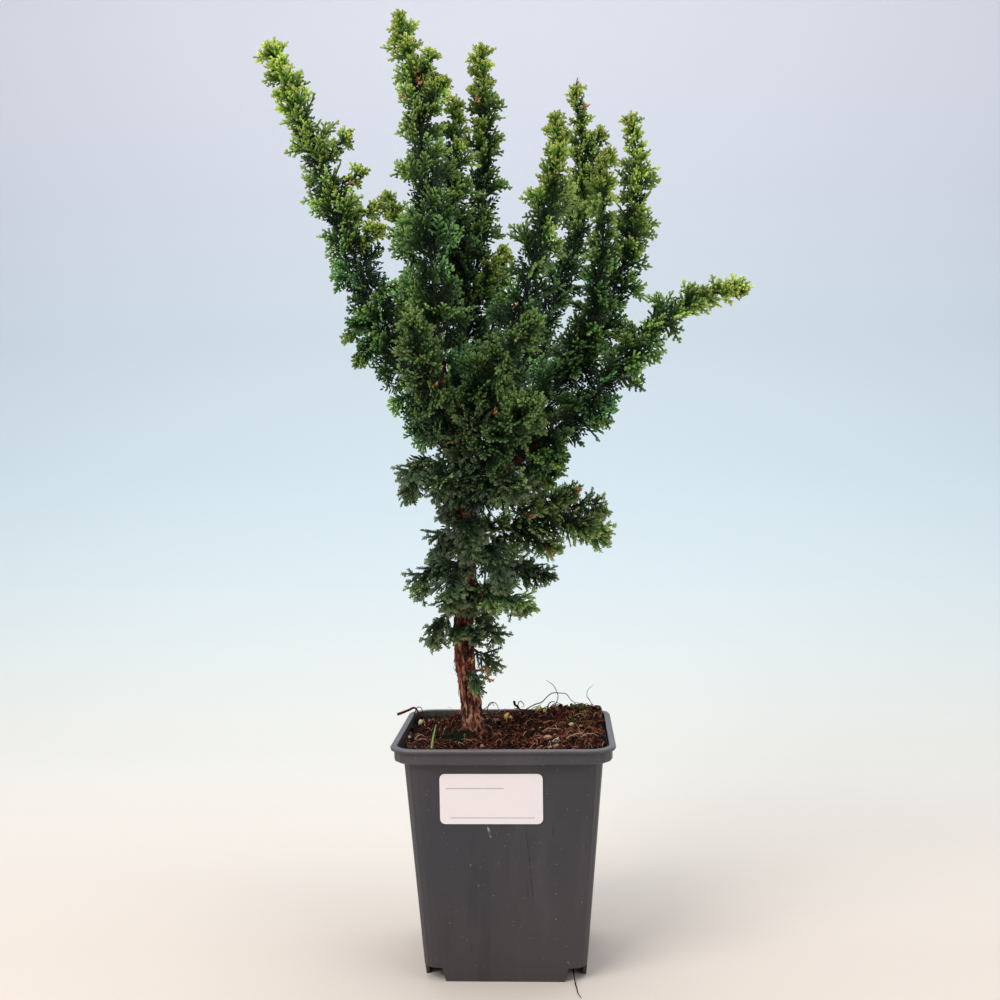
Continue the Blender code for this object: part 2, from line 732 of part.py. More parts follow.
def spray_places(branch):
    """The distances along the stem where sprays grow, closer where they are short."""
    distance = branch.bare + FIRST_BLADE
    places = []
    while distance < branch.spine.length - LAST_BLADE * branch.reach_tip:
        places.append(distance)
        distance += max(LEAST_SPACING, BLADE_SPACING * branch.reach(distance))
    return places


def make_blade(branch, distance, direction, length, roll, rng, others, own):
    """One spray as an object's bmesh, or None if it would touch another branch."""
    root = branch.spine.at(distance)
    outline = blade_outline(length, rng)
    place = blade_matrix(root, direction, branch.spine.along(distance), roll)
    room = blade_mesh(outline, BLADE_THICK + 2 * BLADE_CLEAR, 2 * BLADE_CLEAR)
    room.transform(place)
    blocked = touches(room, others)
    room.free()
    if blocked:
        return None
    bm = blade_mesh(outline, BLADE_THICK)
    bm.transform(place)
    tree = BVHTree.FromBMesh(bm)
    if any(tree.overlap(other) for other in own):
        bm.free()
        return None
    return bm


def make_sprays(branch, rng, others, own, parts):
    """All the sprays of one branch, each turned on until it finds room."""
    blades = []
    turn = rng.uniform(0, 2 * math.pi)
    for number, distance in enumerate(spray_places(branch)):
        for attempt in range(PLACING_TRIES):
            angle = turn + number * GOLDEN_ANGLE + attempt * rng.uniform(*RETRY_TURN)
            direction = spray_direction(branch, distance, angle)
            lean = max(LEAST_LEAN, direction.cross(branch.spine.along(distance)).length)
            length = BLADE_REACH * branch.reach(distance) / lean
            length *= (1 - RETRY_SHORTEN * attempt) * rng.uniform(0.92, 1.08)
            roll = rng.uniform(-BLADE_ROLL, BLADE_ROLL)
            bm = make_blade(branch, distance, direction, length, roll, rng, others, own)
            if bm:
                own.append(BVHTree.FromBMesh(bm))
                blades.append(object_from(bm, f"{branch.name}_blade_{number}", parts))
                break
    return blades + tip_blade(branch, rng, others, own, parts)


def tip_blade(branch, rng, others, own, parts):
    """The spray that carries the branch on past its tip, in a list of none or one."""
    distance = branch.spine.length - BLADE_TIP_ROOT
    direction = branch.spine.along(branch.spine.length)
    length = branch.reach_tip + BLADE_TIP_ROOT
    for _ in range(PLACING_TRIES):
        roll = rng.uniform(-BLADE_ROLL, BLADE_ROLL)
        bm = make_blade(branch, distance, direction, length, roll, rng, others, own)
        if bm:
            return [object_from(bm, f"{branch.name}_blade_tip", parts)]
    return []


def tree_of(obj):
    bm = bmesh.new()
    bm.from_mesh(obj.data)
    tree = BVHTree.FromBMesh(bm)
    bm.free()
    return tree


def foliage_material(name, materials):
    """The old foliage round the trunk is bluish, the leaders' fresher green."""
    if name.startswith(("column", "spray")):
        return materials["foliage_bluish"]
    return materials["foliage"]


def make_foliage(branches, wood, parts, materials):
    """Every leafy branch as one solid that stays clear of the wood and of the others."""
    masses = []
    for number, branch in enumerate(branches):
        others = [other.spine for other in branches if other.name != branch.name]
        masses.append(make_tufts(branch, others, random.Random(number), parts))
    names = list(dict.fromkeys(branch.name for branch in branches))
    trees = {name: [] for name in names}
    for branch, mass in zip(branches, masses):
        trees[branch.name].append(tree_of(mass))
    wood_tree = tree_of(wood)
    for number, name in enumerate(names):
        rng = random.Random(100 + number)
        others = [tree for other in names if other != name for tree in trees[other]]
        others.append(wood_tree)
        pieces, own = [], []
        for branch, mass in zip(branches, masses):
            if branch.name == name:
                pieces.append(mass)
                pieces += make_sprays(branch, rng, others, own, parts)
        leafy = fuse(name, pieces, parts)
        trees[name] = [tree_of(leafy)]
        finish(leafy, foliage_material(name, materials), 40)


def main():
    clear_scene()
    parts = make_collection("hinoki_cypress_bonsai")
    cutters = make_collection("cutters")
    materials = {name: make_material(name) for name in COLOURS}
    make_pot(parts, cutters, materials["pot_plastic"])
    make_soil(parts, cutters, materials["peat"])
    make_label(parts, materials["paper"])
    branches = [Branch(*row) for row in BRANCHES]
    wood = make_wood(branches, parts, materials["bark"])
    make_foliage(branches, wood, parts, materials)


main()
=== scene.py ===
# %% [markdown]
# # A hinoki cypress grown as a bonsai, in its nursery pot
#
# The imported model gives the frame: where the pot, the peat, the trunk and every leafy
# stem stand, in metres. Here each leafy solid is replaced by real scale foliage, the
# trunk by fissured bark and the peat by fibres, crumbs and grains. The pot and its
# sticker keep their shapes and get finished surfaces.

import math
import random

import bmesh
import bpy
import numpy as np
from mathutils import Matrix, Quaternion, Vector
from mathutils.noise import noise


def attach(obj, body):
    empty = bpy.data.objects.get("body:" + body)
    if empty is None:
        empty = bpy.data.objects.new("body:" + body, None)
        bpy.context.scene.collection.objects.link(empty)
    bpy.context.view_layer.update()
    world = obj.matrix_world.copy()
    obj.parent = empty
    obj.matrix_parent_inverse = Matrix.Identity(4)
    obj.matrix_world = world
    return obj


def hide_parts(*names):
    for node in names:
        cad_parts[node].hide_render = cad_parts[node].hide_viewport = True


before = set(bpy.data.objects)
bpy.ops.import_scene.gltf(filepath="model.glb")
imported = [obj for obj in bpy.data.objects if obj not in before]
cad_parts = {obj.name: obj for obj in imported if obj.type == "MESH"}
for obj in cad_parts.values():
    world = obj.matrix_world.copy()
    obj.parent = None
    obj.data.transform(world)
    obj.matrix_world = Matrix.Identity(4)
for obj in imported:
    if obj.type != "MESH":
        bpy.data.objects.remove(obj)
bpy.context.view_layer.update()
MM = 0.001
print("nodes in the frame:", len(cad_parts))

# %% [markdown]
# ## Small helpers
#
# A plant is thousands of tiny pieces. Making each as its own object would be slow, so
# points and faces are gathered in numpy arrays and turned into one mesh per stem.
# `foreach_set` copies a whole array at once, and attributes carry what a material
# needs to know about each point, such as how young the foliage is there.

# %% Turn arrays into a mesh
def mesh_piece(name, points, triangles, material, smooth=True, **attributes):
    """One object from arrays of points (metres) and triangles, with float attributes."""
    mesh = bpy.data.meshes.new(name)
    mesh.vertices.add(len(points))
    mesh.vertices.foreach_set("co", np.asarray(points, np.float32).ravel())
    mesh.loops.add(3 * len(triangles))
    mesh.loops.foreach_set("vertex_index", np.asarray(triangles, np.int32).ravel())
    mesh.polygons.add(len(triangles))
    mesh.polygons.foreach_set("loop_start", np.arange(0, 3 * len(triangles), 3, dtype=np.int32))
    mesh.update(calc_edges=True)
    mesh.polygons.foreach_set("use_smooth", np.full(len(triangles), smooth))
    for key, values in attributes.items():
        layer = mesh.attributes.new(key, "FLOAT", "POINT")
        layer.data.foreach_set("value", np.asarray(values, np.float32))
    mesh.materials.append(material)
    piece = bpy.data.objects.new(name, mesh)
    bpy.context.scene.collection.objects.link(piece)
    return piece


def triangles_in(piece):
    piece.data.calc_loop_triangles()
    return len(piece.data.loop_triangles)


# %% Gather many shapes in one heap
class Heap:
    """Gathers many small shapes, each with its own points, triangles and attributes."""

    def __init__(self):
        self.points, self.triangles, self.values = [], [], {}
        self.count = 0

    def add(self, points, triangles, **values):
        self.points.append(points)
        self.triangles.append(triangles + self.count)
        for key, value in values.items():
            spread = np.broadcast_to(np.asarray(value, np.float32), (len(points),))
            self.values.setdefault(key, []).append(spread)
        self.count += len(points)

    def piece(self, name, material, smooth=True):
        values = {key: np.concatenate(parts) for key, parts in self.values.items()}
        points = np.concatenate(self.points)
        triangles = np.concatenate(self.triangles)
        return mesh_piece(name, points, triangles, material, smooth, **values)


trial = Heap()
trial.add(np.eye(3), np.array([(0, 1, 2)]), growth=0.5)
print("a heap of one triangle holds", trial.count, "points and", list(trial.values))


# %% [markdown]
# A tube is the commonest shape on a plant: a ring of points carried along a line, a
# little thinner at each step. The ring is kept square to the line by carrying one side
# direction along and straightening it at every step, so the tube never twists.

# %% Rings along a line
def unit(vectors):
    """The vectors at length 1."""
    return vectors / np.maximum(np.linalg.norm(vectors, axis=-1, keepdims=True), 1e-12)


def frames_along(line):
    """For each point of a line: its direction and two directions square to it."""
    forward = unit(np.gradient(line, axis=0))
    first = np.cross(forward[0], (0.0, 1.0, 0.0))
    if np.linalg.norm(first) < 0.2:
        first = np.cross(forward[0], (1.0, 0.0, 0.0))
    sides = [first / np.linalg.norm(first)]
    for direction in forward[1:]:
        side = sides[-1] - direction * (sides[-1] @ direction)
        sides.append(side / np.linalg.norm(side))
    sides = np.array(sides)
    return forward, sides, np.cross(forward, sides)


def spokes(across, other, turn):
    """Directions round each point of a line, one for each angle in turn."""
    return (across[:, None] * np.cos(turn)[None, :, None]
            + other[:, None] * np.sin(turn)[None, :, None])


upright = np.array([(0.0, 0.0, k) for k in range(3)])
print("directions at the middle of an upright line:", *(way[1] for way in frames_along(upright)))


# %% A tube
def tube(line, radii, sides, closed_end=True):
    """Points and triangles of a tube. radii is one number a point, or one a point and side."""
    line = np.asarray(line, float)
    radii = np.asarray(radii, float)
    if radii.ndim == 1:
        radii = np.repeat(radii[:, None], sides, axis=1)
    _, across, other = frames_along(line)
    turn = np.linspace(0, 2 * np.pi, sides, endpoint=False)
    out = spokes(across, other, turn)
    points = (line[:, None] + out * radii[:, :, None]).reshape(-1, 3)
    triangles = []
    rows = len(line)
    here = np.arange(sides)
    following = (here + 1) % sides
    for row in range(rows - 1):
        low, high = row * sides, (row + 1) * sides
        triangles.append(np.stack([low + here, low + following, high + following], 1))
        triangles.append(np.stack([low + here, high + following, high + here], 1))
    if closed_end:
        last = (rows - 1) * sides
        points = np.vstack([points, line[-1:]])
        tip = np.full(sides, len(points) - 1)
        triangles.append(np.stack([last + here, last + following, tip], 1))
    return points, np.concatenate(triangles)


points, triangles = tube([(0, 0, 0), (0, 0, 1), (0, 1, 2)], [0.2, 0.2, 0.1], 6)
print("a tube of six sides and three rings has", len(triangles), "triangles")


# %% [markdown]
# ## Camera
#
# The photograph was taken from straight in front, about 70 cm away and half way up the
# plant. The pot's corners give the place exactly, since a square pot of known width
# can be seen in only one way from any one place. The tiny roll follows the photograph.

# %% Place the camera
LENS, SENSOR = 49.356, 36.0  # mm
CAMERA_PLACE = (0.02844, -0.70633, 0.2565)
CAMERA_TURN = (88.32873, 0.59974, 2.4425)  # degrees
camera_data = bpy.data.cameras.new("camera")
camera_data.lens = LENS
camera_data.sensor_width = SENSOR
camera_data.clip_start = 0.01
camera = bpy.data.objects.new("camera", camera_data)
camera.location = CAMERA_PLACE
camera.rotation_euler = tuple(math.radians(angle) for angle in CAMERA_TURN)
bpy.context.scene.collection.objects.link(camera)
bpy.context.scene.camera = camera
print("camera at", tuple(round(v, 3) for v in camera.location), "lens", LENS)

# %% [markdown]
# ## Materials written as nodes
#
# A material in Blender is a graph: noise and stored attributes flow through sums and
# colour ramps into one shader. Linking each socket by hand would take pages, so short
# helpers add a node, link what comes from another node and set what is a plain value.

# %% Node helpers
def make_material(name):
    """A new material, its node tree and its shader."""
    material = bpy.data.materials.new(name)
    material.use_nodes = True
    tree = material.node_tree
    return material, tree, tree.nodes["Principled BSDF"]


def add(tree, kind, inputs=None, **settings):
    """A node with its settings, and its inputs set to a value or linked to a socket."""
    made = tree.nodes.new(kind)
    for key, value in settings.items():
        setattr(made, key, value)
    for key, value in (inputs or {}).items():
        if isinstance(value, bpy.types.NodeSocket):
            tree.links.new(value, made.inputs[key])
        else:
            made.inputs[key].default_value = value
    return made


def ramp(tree, factor, *stops):
    """A colour ramp with stops of (place, colour)."""
    made = add(tree, "ShaderNodeValToRGB", {"Fac": factor})
    elements = made.color_ramp.elements
    for place, colour in stops[2:]:
        elements.new(place)
    for element, (place, colour) in zip(elements, sorted(stops)):
        element.position = place
        element.color = (*colour, 1.0)
    return made.outputs["Color"]


def mix(tree, factor, first, second, blend="MIX"):
    """Two colours mixed. Either may be a socket or three numbers."""
    made = add(tree, "ShaderNodeMix", {0: factor}, data_type="RGBA", blend_type=blend)
    for key, value in ((6, first), (7, second)):
        if isinstance(value, bpy.types.NodeSocket):
            tree.links.new(value, made.inputs[key])
        else:
            made.inputs[key].default_value = (*value, 1.0)
    return made.outputs[2]


def number(tree, operation, *values):
    """One sum on sockets or plain values."""
    made = tree.nodes.new("ShaderNodeMath")
    made.operation = operation
    for index, value in enumerate(values):
        if isinstance(value, bpy.types.NodeSocket):
            tree.links.new(value, made.inputs[index])
        else:
            made.inputs[index].default_value = value
    return made.outputs[0]


print("helpers for nodes: add, ramp, mix and number")

# %% [markdown]
# Noise in the object's own coordinates sticks to the surface, so it looks the same from
# every side. Stretched along one axis it becomes a grain, like that of wood or of
# plastic that was drawn over a mould.

# %% Noise, place and relief
GRAIN_ROUGHNESS = 0.6


def grain(tree, scale, detail=4.0, stretch=None):
    """Noise in the object's own coordinates, optionally stretched along an axis."""
    place = add(tree, "ShaderNodeTexCoord").outputs["Object"]
    if stretch:
        values = {"Vector": place, "Scale": stretch}
        place = add(tree, "ShaderNodeMapping", values).outputs["Vector"]
    values = {"Vector": place, "Scale": scale, "Detail": detail, "Roughness": GRAIN_ROUGHNESS}
    return add(tree, "ShaderNodeTexNoise", values).outputs["Fac"]


def attribute(tree, name):
    """A value stored on the mesh's points."""
    return add(tree, "ShaderNodeAttribute", attribute_name=name).outputs["Fac"]


def position(tree):
    """The three coordinates of the surface in the part's frame."""
    place = add(tree, "ShaderNodeTexCoord").outputs["Object"]
    parts = add(tree, "ShaderNodeSeparateXYZ", {"Vector": place})
    return parts.outputs["X"], parts.outputs["Y"], parts.outputs["Z"]


def fade(tree, value, low, high):
    """0 at low and 1 at high, with soft ends."""
    values = {"Value": value, "From Min": low, "From Max": high}
    made = add(tree, "ShaderNodeMapRange", values, interpolation_type="SMOOTHSTEP")
    return made.outputs["Result"]


def bump(tree, height, distance, strength):
    """Relief from a height, for what is too fine to model."""
    values = {"Height": height, "Distance": distance, "Strength": strength}
    return add(tree, "ShaderNodeBump", values).outputs["Normal"]


def connect(tree, shader, **sockets):
    """Links sockets to the shader's inputs; Base_Color stands for Base Color."""
    for name, socket in sockets.items():
        tree.links.new(socket, shader.inputs[name.replace("_", " ")])


print("helpers for surfaces: grain, attribute, position, fade, bump and connect")

# %% [markdown]
# ## Floor and backdrop
#
# A studio sweep is one sheet that lies flat under the plant and curves up behind it, so
# no line shows where floor turns into wall. Its colour goes from warm white on the
# floor through pale blue to a faintly lilac white, by height alone. A few colour stops
# do that, where a photograph would tie the scene to one picture.

# %% Sweep
SWEEP_FRONT, SWEEP_TURN, SWEEP_TOP = -2.5, 0.45, 3.0
SWEEP_RADIUS, SWEEP_HALF_WIDTH, SWEEP_STEPS = 0.9, 4.0, 24
# Partly the sweep's tint and partly painted light: the stops are darker in the pale blue middle and
# lighter towards the floor and the top, as the light falls on the sweep.
SWEEP_COLOURS = ((0.0, (0.81, 0.71, 0.62)), (0.03, (0.87, 0.83, 0.75)),
                 (0.07, (0.82, 0.84, 0.79)), (0.18, (0.71, 0.81, 0.83)),
                 (0.30, (0.64, 0.75, 0.80)), (0.47, (0.61, 0.70, 0.76)),
                 (0.66, (0.66, 0.71, 0.79)), (0.90, (0.75, 0.77, 0.85)))


def sweep_material():
    """Colour by height, with a little of the distance behind the plant added."""
    material, tree, shader = make_material("sweep_paper")
    _, y, z = position(tree)
    behind = number(tree, "MULTIPLY", y, 0.08)
    rise = number(tree, "ADD", number(tree, "MULTIPLY", z, 0.88), behind)
    fleck = number(tree, "MULTIPLY", grain(tree, 60.0, 3.0), 0.04)
    colour = mix(tree, fleck, ramp(tree, rise, *SWEEP_COLOURS), (0.7, 0.68, 0.66))
    connect(tree, shader, Base_Color=colour)
    shader.inputs["Roughness"].default_value = 0.9
    return material


def make_sweep():
    """Floor and backdrop in one sheet, flat under the pot and curved up behind it."""
    line = [(SWEEP_FRONT, 0.0), (SWEEP_TURN, 0.0)]
    for step in range(1, SWEEP_STEPS + 1):
        angle = step / SWEEP_STEPS * math.pi / 2
        along = SWEEP_TURN + SWEEP_RADIUS * math.sin(angle)
        line.append((along, SWEEP_RADIUS * (1 - math.cos(angle))))
    line.append((SWEEP_TURN + SWEEP_RADIUS, SWEEP_TOP))
    points = [(x, y, z) for y, z in line for x in (-SWEEP_HALF_WIDTH, SWEEP_HALF_WIDTH)]
    triangles = []
    for row in range(len(line) - 1):
        a = 2 * row
        triangles += [(a, a + 1, a + 3), (a, a + 3, a + 2)]
    return mesh_piece("sweep", points, triangles, sweep_material())


sweep = make_sweep()
print("a sweep of", triangles_in(sweep), "triangles")

# %% [markdown]
# ## Light
#
# Four big soft area lights and a pale sky give the even light of a photo tent. The main
# one stands at the upper left. The others fill the right side, touch the tips from
# above and wash the backdrop.

# %% Lights
def area_light(name, place, target, size, watts, colour):
    """A square soft light of the given size in metres, turned to its target."""
    data = bpy.data.lights.new(name, "AREA")
    data.size = size
    data.energy = watts
    data.color = colour
    light = bpy.data.objects.new(name, data)
    light.location = place
    light.rotation_euler = (Vector(target) - Vector(place)).to_track_quat("-Z", "Y").to_euler()
    bpy.context.scene.collection.objects.link(light)
    return light


CROWN_MIDDLE = (0.0, 0.0, 0.28)
SKY_COLOUR, SKY_STRENGTH = (0.86, 0.91, 1.0, 1.0), 0.38
area_light("key_upper_left", (-0.75, -0.95, 1.15), CROWN_MIDDLE, 0.9, 15.0, (1.0, 0.98, 0.95))
area_light("fill_right", (1.1, -0.8, 0.6), CROWN_MIDDLE, 1.2, 4.5, (0.95, 0.98, 1.0))
area_light("top", (0.1, 0.25, 1.5), CROWN_MIDDLE, 1.2, 6.0, (1.0, 1.0, 1.0))
area_light("backdrop_wash", (0.0, 0.2, 2.6), (0.0, 1.3, 0.4), 1.6, 15.0, (0.97, 0.98, 1.0))

world = bpy.data.worlds.new("studio")
world.use_nodes = True
background = world.node_tree.nodes["Background"]
background.inputs["Color"].default_value = SKY_COLOUR
background.inputs["Strength"].default_value = SKY_STRENGTH
bpy.context.scene.world = world
bpy.context.scene.view_settings.view_transform = "Standard"
print("four lights and a sky of strength", SKY_STRENGTH)

# %% [markdown]
# ## The branches
#
# Every leafy stem is written down once: points along it in millimetres, how much of its
# start is bare wood, how far its sprays reach out at the start and at the tip, and how
# much the old sprays droop. A second row with the same name is a side shoot of the same
# stem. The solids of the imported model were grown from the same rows, so the finer
# foliage keeps their form.

# %% Rows of the trunk and the branches
TRUNK = (
    (-16, -1, 88, 5.5),
    (-16, -1, 104, 5.8),
    (-16, -1, 114, 5.6),
    (-18, -2, 133, 4.9),
    (-21, -2, 156, 4.7),
    (-21, -1, 180, 4.6),
    (-19, 0, 205, 4.3),
    (-21, 0, 226, 4.0),
    (-22, 1, 242, 3.6),
    (-23, 3, 259, 3.0),
    (-25, 5, 272, 2.4),
)
BRANCHES = (
    ("leader_left", ((-22, -1, 243), (-31, 1, 267), (-47, 4, 296), (-62, 7, 330),
                     (-79, 11, 368), (-94, 14, 408), (-107, 15, 442), (-121, 17, 473)),
     26, 19, 9, 0.5),
    ("leader_tall", ((-23, -1, 267), (-28, -7, 290), (-32, -11, 323), (-35, -14, 363),
                     (-37, -12, 398), (-42, -8, 442), (-49, -6, 478)),
     20, 20, 9.5, 0.2),
    ("leader_tall", ((-32, -11, 323), (-42, 2, 345), (-51, 14, 372), (-60, 17, 396)),
     0, 9, 5, 0.1),
    ("leader_middle", ((-23, 4, 267), (-21, 13, 304), (-16, 19, 341), (-11, 24, 389),
                       (-9, 24, 436), (-11, 20, 470)),
     17, 15, 8.5, 0.2),
    ("leader_middle", ((-19, 17, 325), (-23, 7, 366), (-24, 3, 401), (-23, 5, 440)),
     0, 13, 7, 0.2),
    ("leader_front", ((-21, -5, 252), (-6, -20, 282), (8, -32, 318), (17, -37, 353),
                      (27, -39, 389), (30, -37, 421)),
     21, 19, 6, 0.2),
    ("leader_back", ((-24, 5, 259), (-7, 28, 283), (16, 47, 322), (35, 56, 364), (43, 58, 411),
                     (40, 54, 459)),
     28, 15, 6, 0.2),
    ("leader_right", ((-22, 3, 246), (1, 4, 267), (31, 3, 297), (53, 2, 333), (66, 1, 368),
                      (70, 1, 404), (67, 3, 429)),
     28, 20, 6, 0.3),
    ("leader_right", ((31, 3, 297), (44, -10, 322), (50, -16, 351), (52, -18, 380),
                      (52, -18, 405)),
     0, 13, 5, 0.2),
    ("leader_outer", ((-21, 1, 241), (2, 0, 253), (35, -5, 278), (61, -11, 305), (80, -17, 325),
                      (99, -22, 336), (120, -25, 340)),
     30, 19, 6, 0.4),
    ("leader_rear_middle", ((-24, 7, 267), (-17, 35, 289), (-9, 60, 323), (-4, 76, 367)),
     24, 17, 6, 0.3),
    ("leader_rear_left", ((-23, 1, 252), (-35, 29, 278), (-50, 52, 318), (-60, 61, 354)),
     24, 17, 6, 0.4),
    ("leader_rear_right", ((-22, 2, 246), (-4, 36, 267), (18, 61, 295), (43, 78, 328)),
     28, 17, 6, 0.4),
    ("cluster_front_upper", ((-22, 1, 262), (-12, -35, 286), (4, -58, 307), (18, -72, 320)),
     24, 16, 7, 0.4),
    ("cluster_front_low", ((-21, -2, 246), (-7, -34, 260), (7, -62, 273), (18, -76, 282)),
     24, 17, 8, 0.5),
    ("cluster_front_left", ((-23, 1, 257), (-29, -35, 281), (-36, -60, 303), (-39, -71, 321)),
     24, 17, 8, 0.4),
    ("cluster_right", ((-21, 1, 232), (-5, 16, 242), (13, 27, 247), (26, 31, 251)),
     18, 16, 8, 0.6),
    ("spray_left_high", ((-21, -1, 235), (-30, -13, 252), (-38, -20, 258), (-44, -22, 253),
                         (-47, -22, 240)),
     11, 12, 7, 0.6),
    ("spray_right_high", ((-21, -1, 219), (1, -6, 222), (21, -7, 226), (38, -8, 225),
                          (49, -8, 219)),
     18, 16, 9, 0.35),
    ("spray_front_left", ((-21, -1, 237), (-23, -21, 245), (-25, -37, 250), (-28, -49, 247)),
     11, 16, 9, 0.6),
    ("spray_front_middle", ((-22, -3, 254), (-20, -25, 262), (-15, -41, 269), (-12, -53, 276)),
     11, 16, 9, 0.5),
    ("spray_front_right", ((-21, -1, 239), (-11, -20, 244), (0, -38, 248), (9, -52, 245)),
     11, 17, 9, 0.6),
    ("column_front_high", ((-21, -1, 225), (-18, -21, 228), (-16, -29, 222), (-15, -31, 211)),
     9, 11, 7, 0.7),
    ("column_back_high", ((-21, -1, 227), (-19, 23, 230), (-15, 35, 224), (-14, 39, 212)),
     9, 12, 7, 0.7),
    ("column_left", ((-21, -1, 222), (-27, -4, 224), (-31, -6, 219), (-33, -6, 210)),
     7, 8, 5, 0.7),
    ("column_front_right", ((-20, -1, 213), (-9, -18, 215), (-2, -26, 208), (0, -28, 195)),
     9, 11, 7, 0.7),
    ("column_back_left", ((-21, -1, 212), (-29, 19, 218), (-34, 29, 211), (-36, 32, 203)),
     9, 11, 7, 0.7),
    ("column_front_mid", ((-20, -1, 204), (-23, -19, 205), (-25, -27, 197), (-26, -29, 185)),
     9, 11, 7, 0.7),
    ("spray_right_dark", ((-20, -1, 205), (-3, 12, 203), (11, 16, 199), (22, 19, 195)),
     9, 12, 8, 0.5),
    ("spray_left_mid", ((-21, -1, 202), (-31, -9, 205), (-38, -14, 201), (-43, -16, 193)),
     9, 10, 7, 0.6),
    ("spray_right_bright", ((-20, -1, 193), (-7, -20, 192), (5, -28, 188), (13, -29, 184)),
     9, 11, 8, 0.5),
    ("column_back_low", ((-20, -1, 190), (-15, 17, 190), (-12, 26, 182), (-11, 28, 174)),
     9, 10, 6, 0.7),
    ("spray_left_low", ((-21, -1, 178), (-29, -9, 178), (-34, -11, 173), (-36, -12, 166)),
     8, 9, 6, 0.6),
    ("spray_right_low", ((-21, -1, 178), (-13, -9, 175), (-7, -12, 171), (-3, -12, 167)),
     8, 7, 5, 0.6),
    ("spray_right_lowest", ((-21, -1, 161), (-15, -7, 159), (-9, -8, 156), (-6, -8, 152)),
     8, 7, 5, 0.6),
    ("spray_trunk_front", ((-20, -3, 149), (-18, -12, 149), (-15, -14, 146), (-15, -14, 141)),
     8, 5, 3.5, 0.5),
)

# Younger shoots beside the leaders are finer than the solids need to be.
SIDE_SHOOTS = (
    ("leader_left", ((-97, 12, 408), (-87, 11, 420), (-80, 12, 428)), 3, 4.5, 3.5, 0.1),
    ("leader_left", ((-92, 12, 394), (-81, 12, 403), (-71, 12, 408)), 3, 5, 4, 0.3),
    ("leader_left", ((-86, 11, 377), (-74, 11, 386), (-64, 11, 391)), 3, 5, 4, 0.3),
    ("leader_left", ((-80, 11, 366), (-71, 11, 374), (-63, 11, 378)), 3, 4, 3.5, 0.3),
    ("leader_tall", ((-42, -9, 441), (-38, -11, 451), (-33, -10, 461)), 3, 5, 4, 0.0),
    ("leader_tall", ((-41, -9, 424), (-34, -10, 437), (-28, -10, 449)), 3, 6, 4.5, 0.0),
    ("leader_back", ((43, 56, 420), (49, 52, 429), (54, 50, 436)), 3, 5, 3.5, 0.0),
    ("leader_back", ((43, 57, 405), (52, 52, 415), (58, 50, 423)), 3, 6, 4, 0.0),
    ("leader_middle", ((-12, 15, 338), (-8, 10, 352), (1, 9, 366)), 3, 4, 3.5, 0.0),
    ("leader_middle", ((-9, 14, 345), (-2, 12, 357), (4, 12, 362)), 3, 3.5, 3, 0.0),
    ("leader_left", ((-60, 8, 334), (-68, 7, 331), (-74, 1, 327), (-79, -3, 320)), 3, 5, 4, 0.5),
    ("leader_left", ((-57, 6, 325), (-65, 5, 320), (-70, -1, 313), (-74, -3, 306)), 3, 5, 4, 0.6),
    ("spray_right_high", ((8, -4, 226), (21, -7, 233), (37, -6, 240)), 3, 6, 5, 0.2),
    ("spray_right_high", ((24, -5, 228), (37, -8, 226), (44, -10, 218)), 3, 6, 5, 0.2),
    ("spray_right_high", ((29, -3, 230), (42, -4, 234), (51, -4, 230)), 3, 6, 5, 0.2),
    ("spray_trunk_front", ((-19, -7, 171), (-15, -14, 170), (-13, -16, 164)), 2, 3.5, 3, 0.3),
    ("column_left", ((-21, -2, 228), (-27, -6, 235), (-30, -8, 229)), 3, 7, 5, 0.5),
    ("spray_trunk_front", ((-20, -4, 168), (-23, -10, 171), (-26, -12, 166)), 2, 4, 3, 0.4),
    ("column_front_mid", ((-20, -4, 186), (-18, -12, 190), (-15, -16, 183)), 2, 7, 5, 0.5),
    ("spray_right_high", ((6, -5, 223), (15, -10, 217), (26, -12, 211)), 3, 6, 5, 0.3),
    ("spray_right_high", ((14, -6, 226), (22, -2, 234), (30, 2, 236)), 3, 6, 5, 0.2),
    ("spray_right_high", ((3, -5, 222), (8, -10, 229), (17, -12, 234)), 3, 6, 5, 0.2),
    ("spray_right_high", ((-10, -3, 220), (-6, -10, 224), (0, -14, 226)), 3, 6, 5, 0.3),
    ("spray_right_high", ((-8, -4, 220), (-3, -9, 215), (3, -12, 209)), 3, 6, 5, 0.4),
    ("leader_outer", ((22, -4, 268), (27, -9, 262), (29, -12, 254)), 3, 6, 4, 0.5),
    ("leader_outer", ((40, -8, 286), (47, -13, 281), (51, -15, 275)), 3, 6, 4, 0.5),
    ("leader_outer", ((14, -2, 259), (19, 2, 253), (22, 4, 245)), 3, 6, 4, 0.5),
)

print(len(BRANCHES), "rows for the main stems and", len(SIDE_SHOOTS), "for side shoots")

# %% [markdown]
# A row has only a few points, and a stem bends softly through them. A Catmull-Rom line
# passes through every point, which a plain Bezier curve would miss, and it needs no
# handles. Each stem keeps its line with the length along it, so that a place on it can
# be asked for by distance.

# %% Smooth lines through the points
LINE_STEP = 1.0 * MM


def smooth_line(points, step):
    """A Catmull-Rom line through the points, with a point about every step."""
    points = np.asarray(points, float)
    ends = np.vstack([2 * points[0] - points[1], points, 2 * points[-1] - points[-2]])
    line = []
    for before, start, end, after in zip(ends, ends[1:], ends[2:], ends[3:]):
        count = max(2, round(np.linalg.norm(end - start) / step))
        t = (np.arange(count) / count)[:, None]
        line.append(0.5 * (2 * start + (end - before) * t
                           + (2 * before - 5 * start + 4 * end - after) * t ** 2
                           + (3 * start - before - 3 * end + after) * t ** 3))
    return np.vstack(line + [points[-1:]])


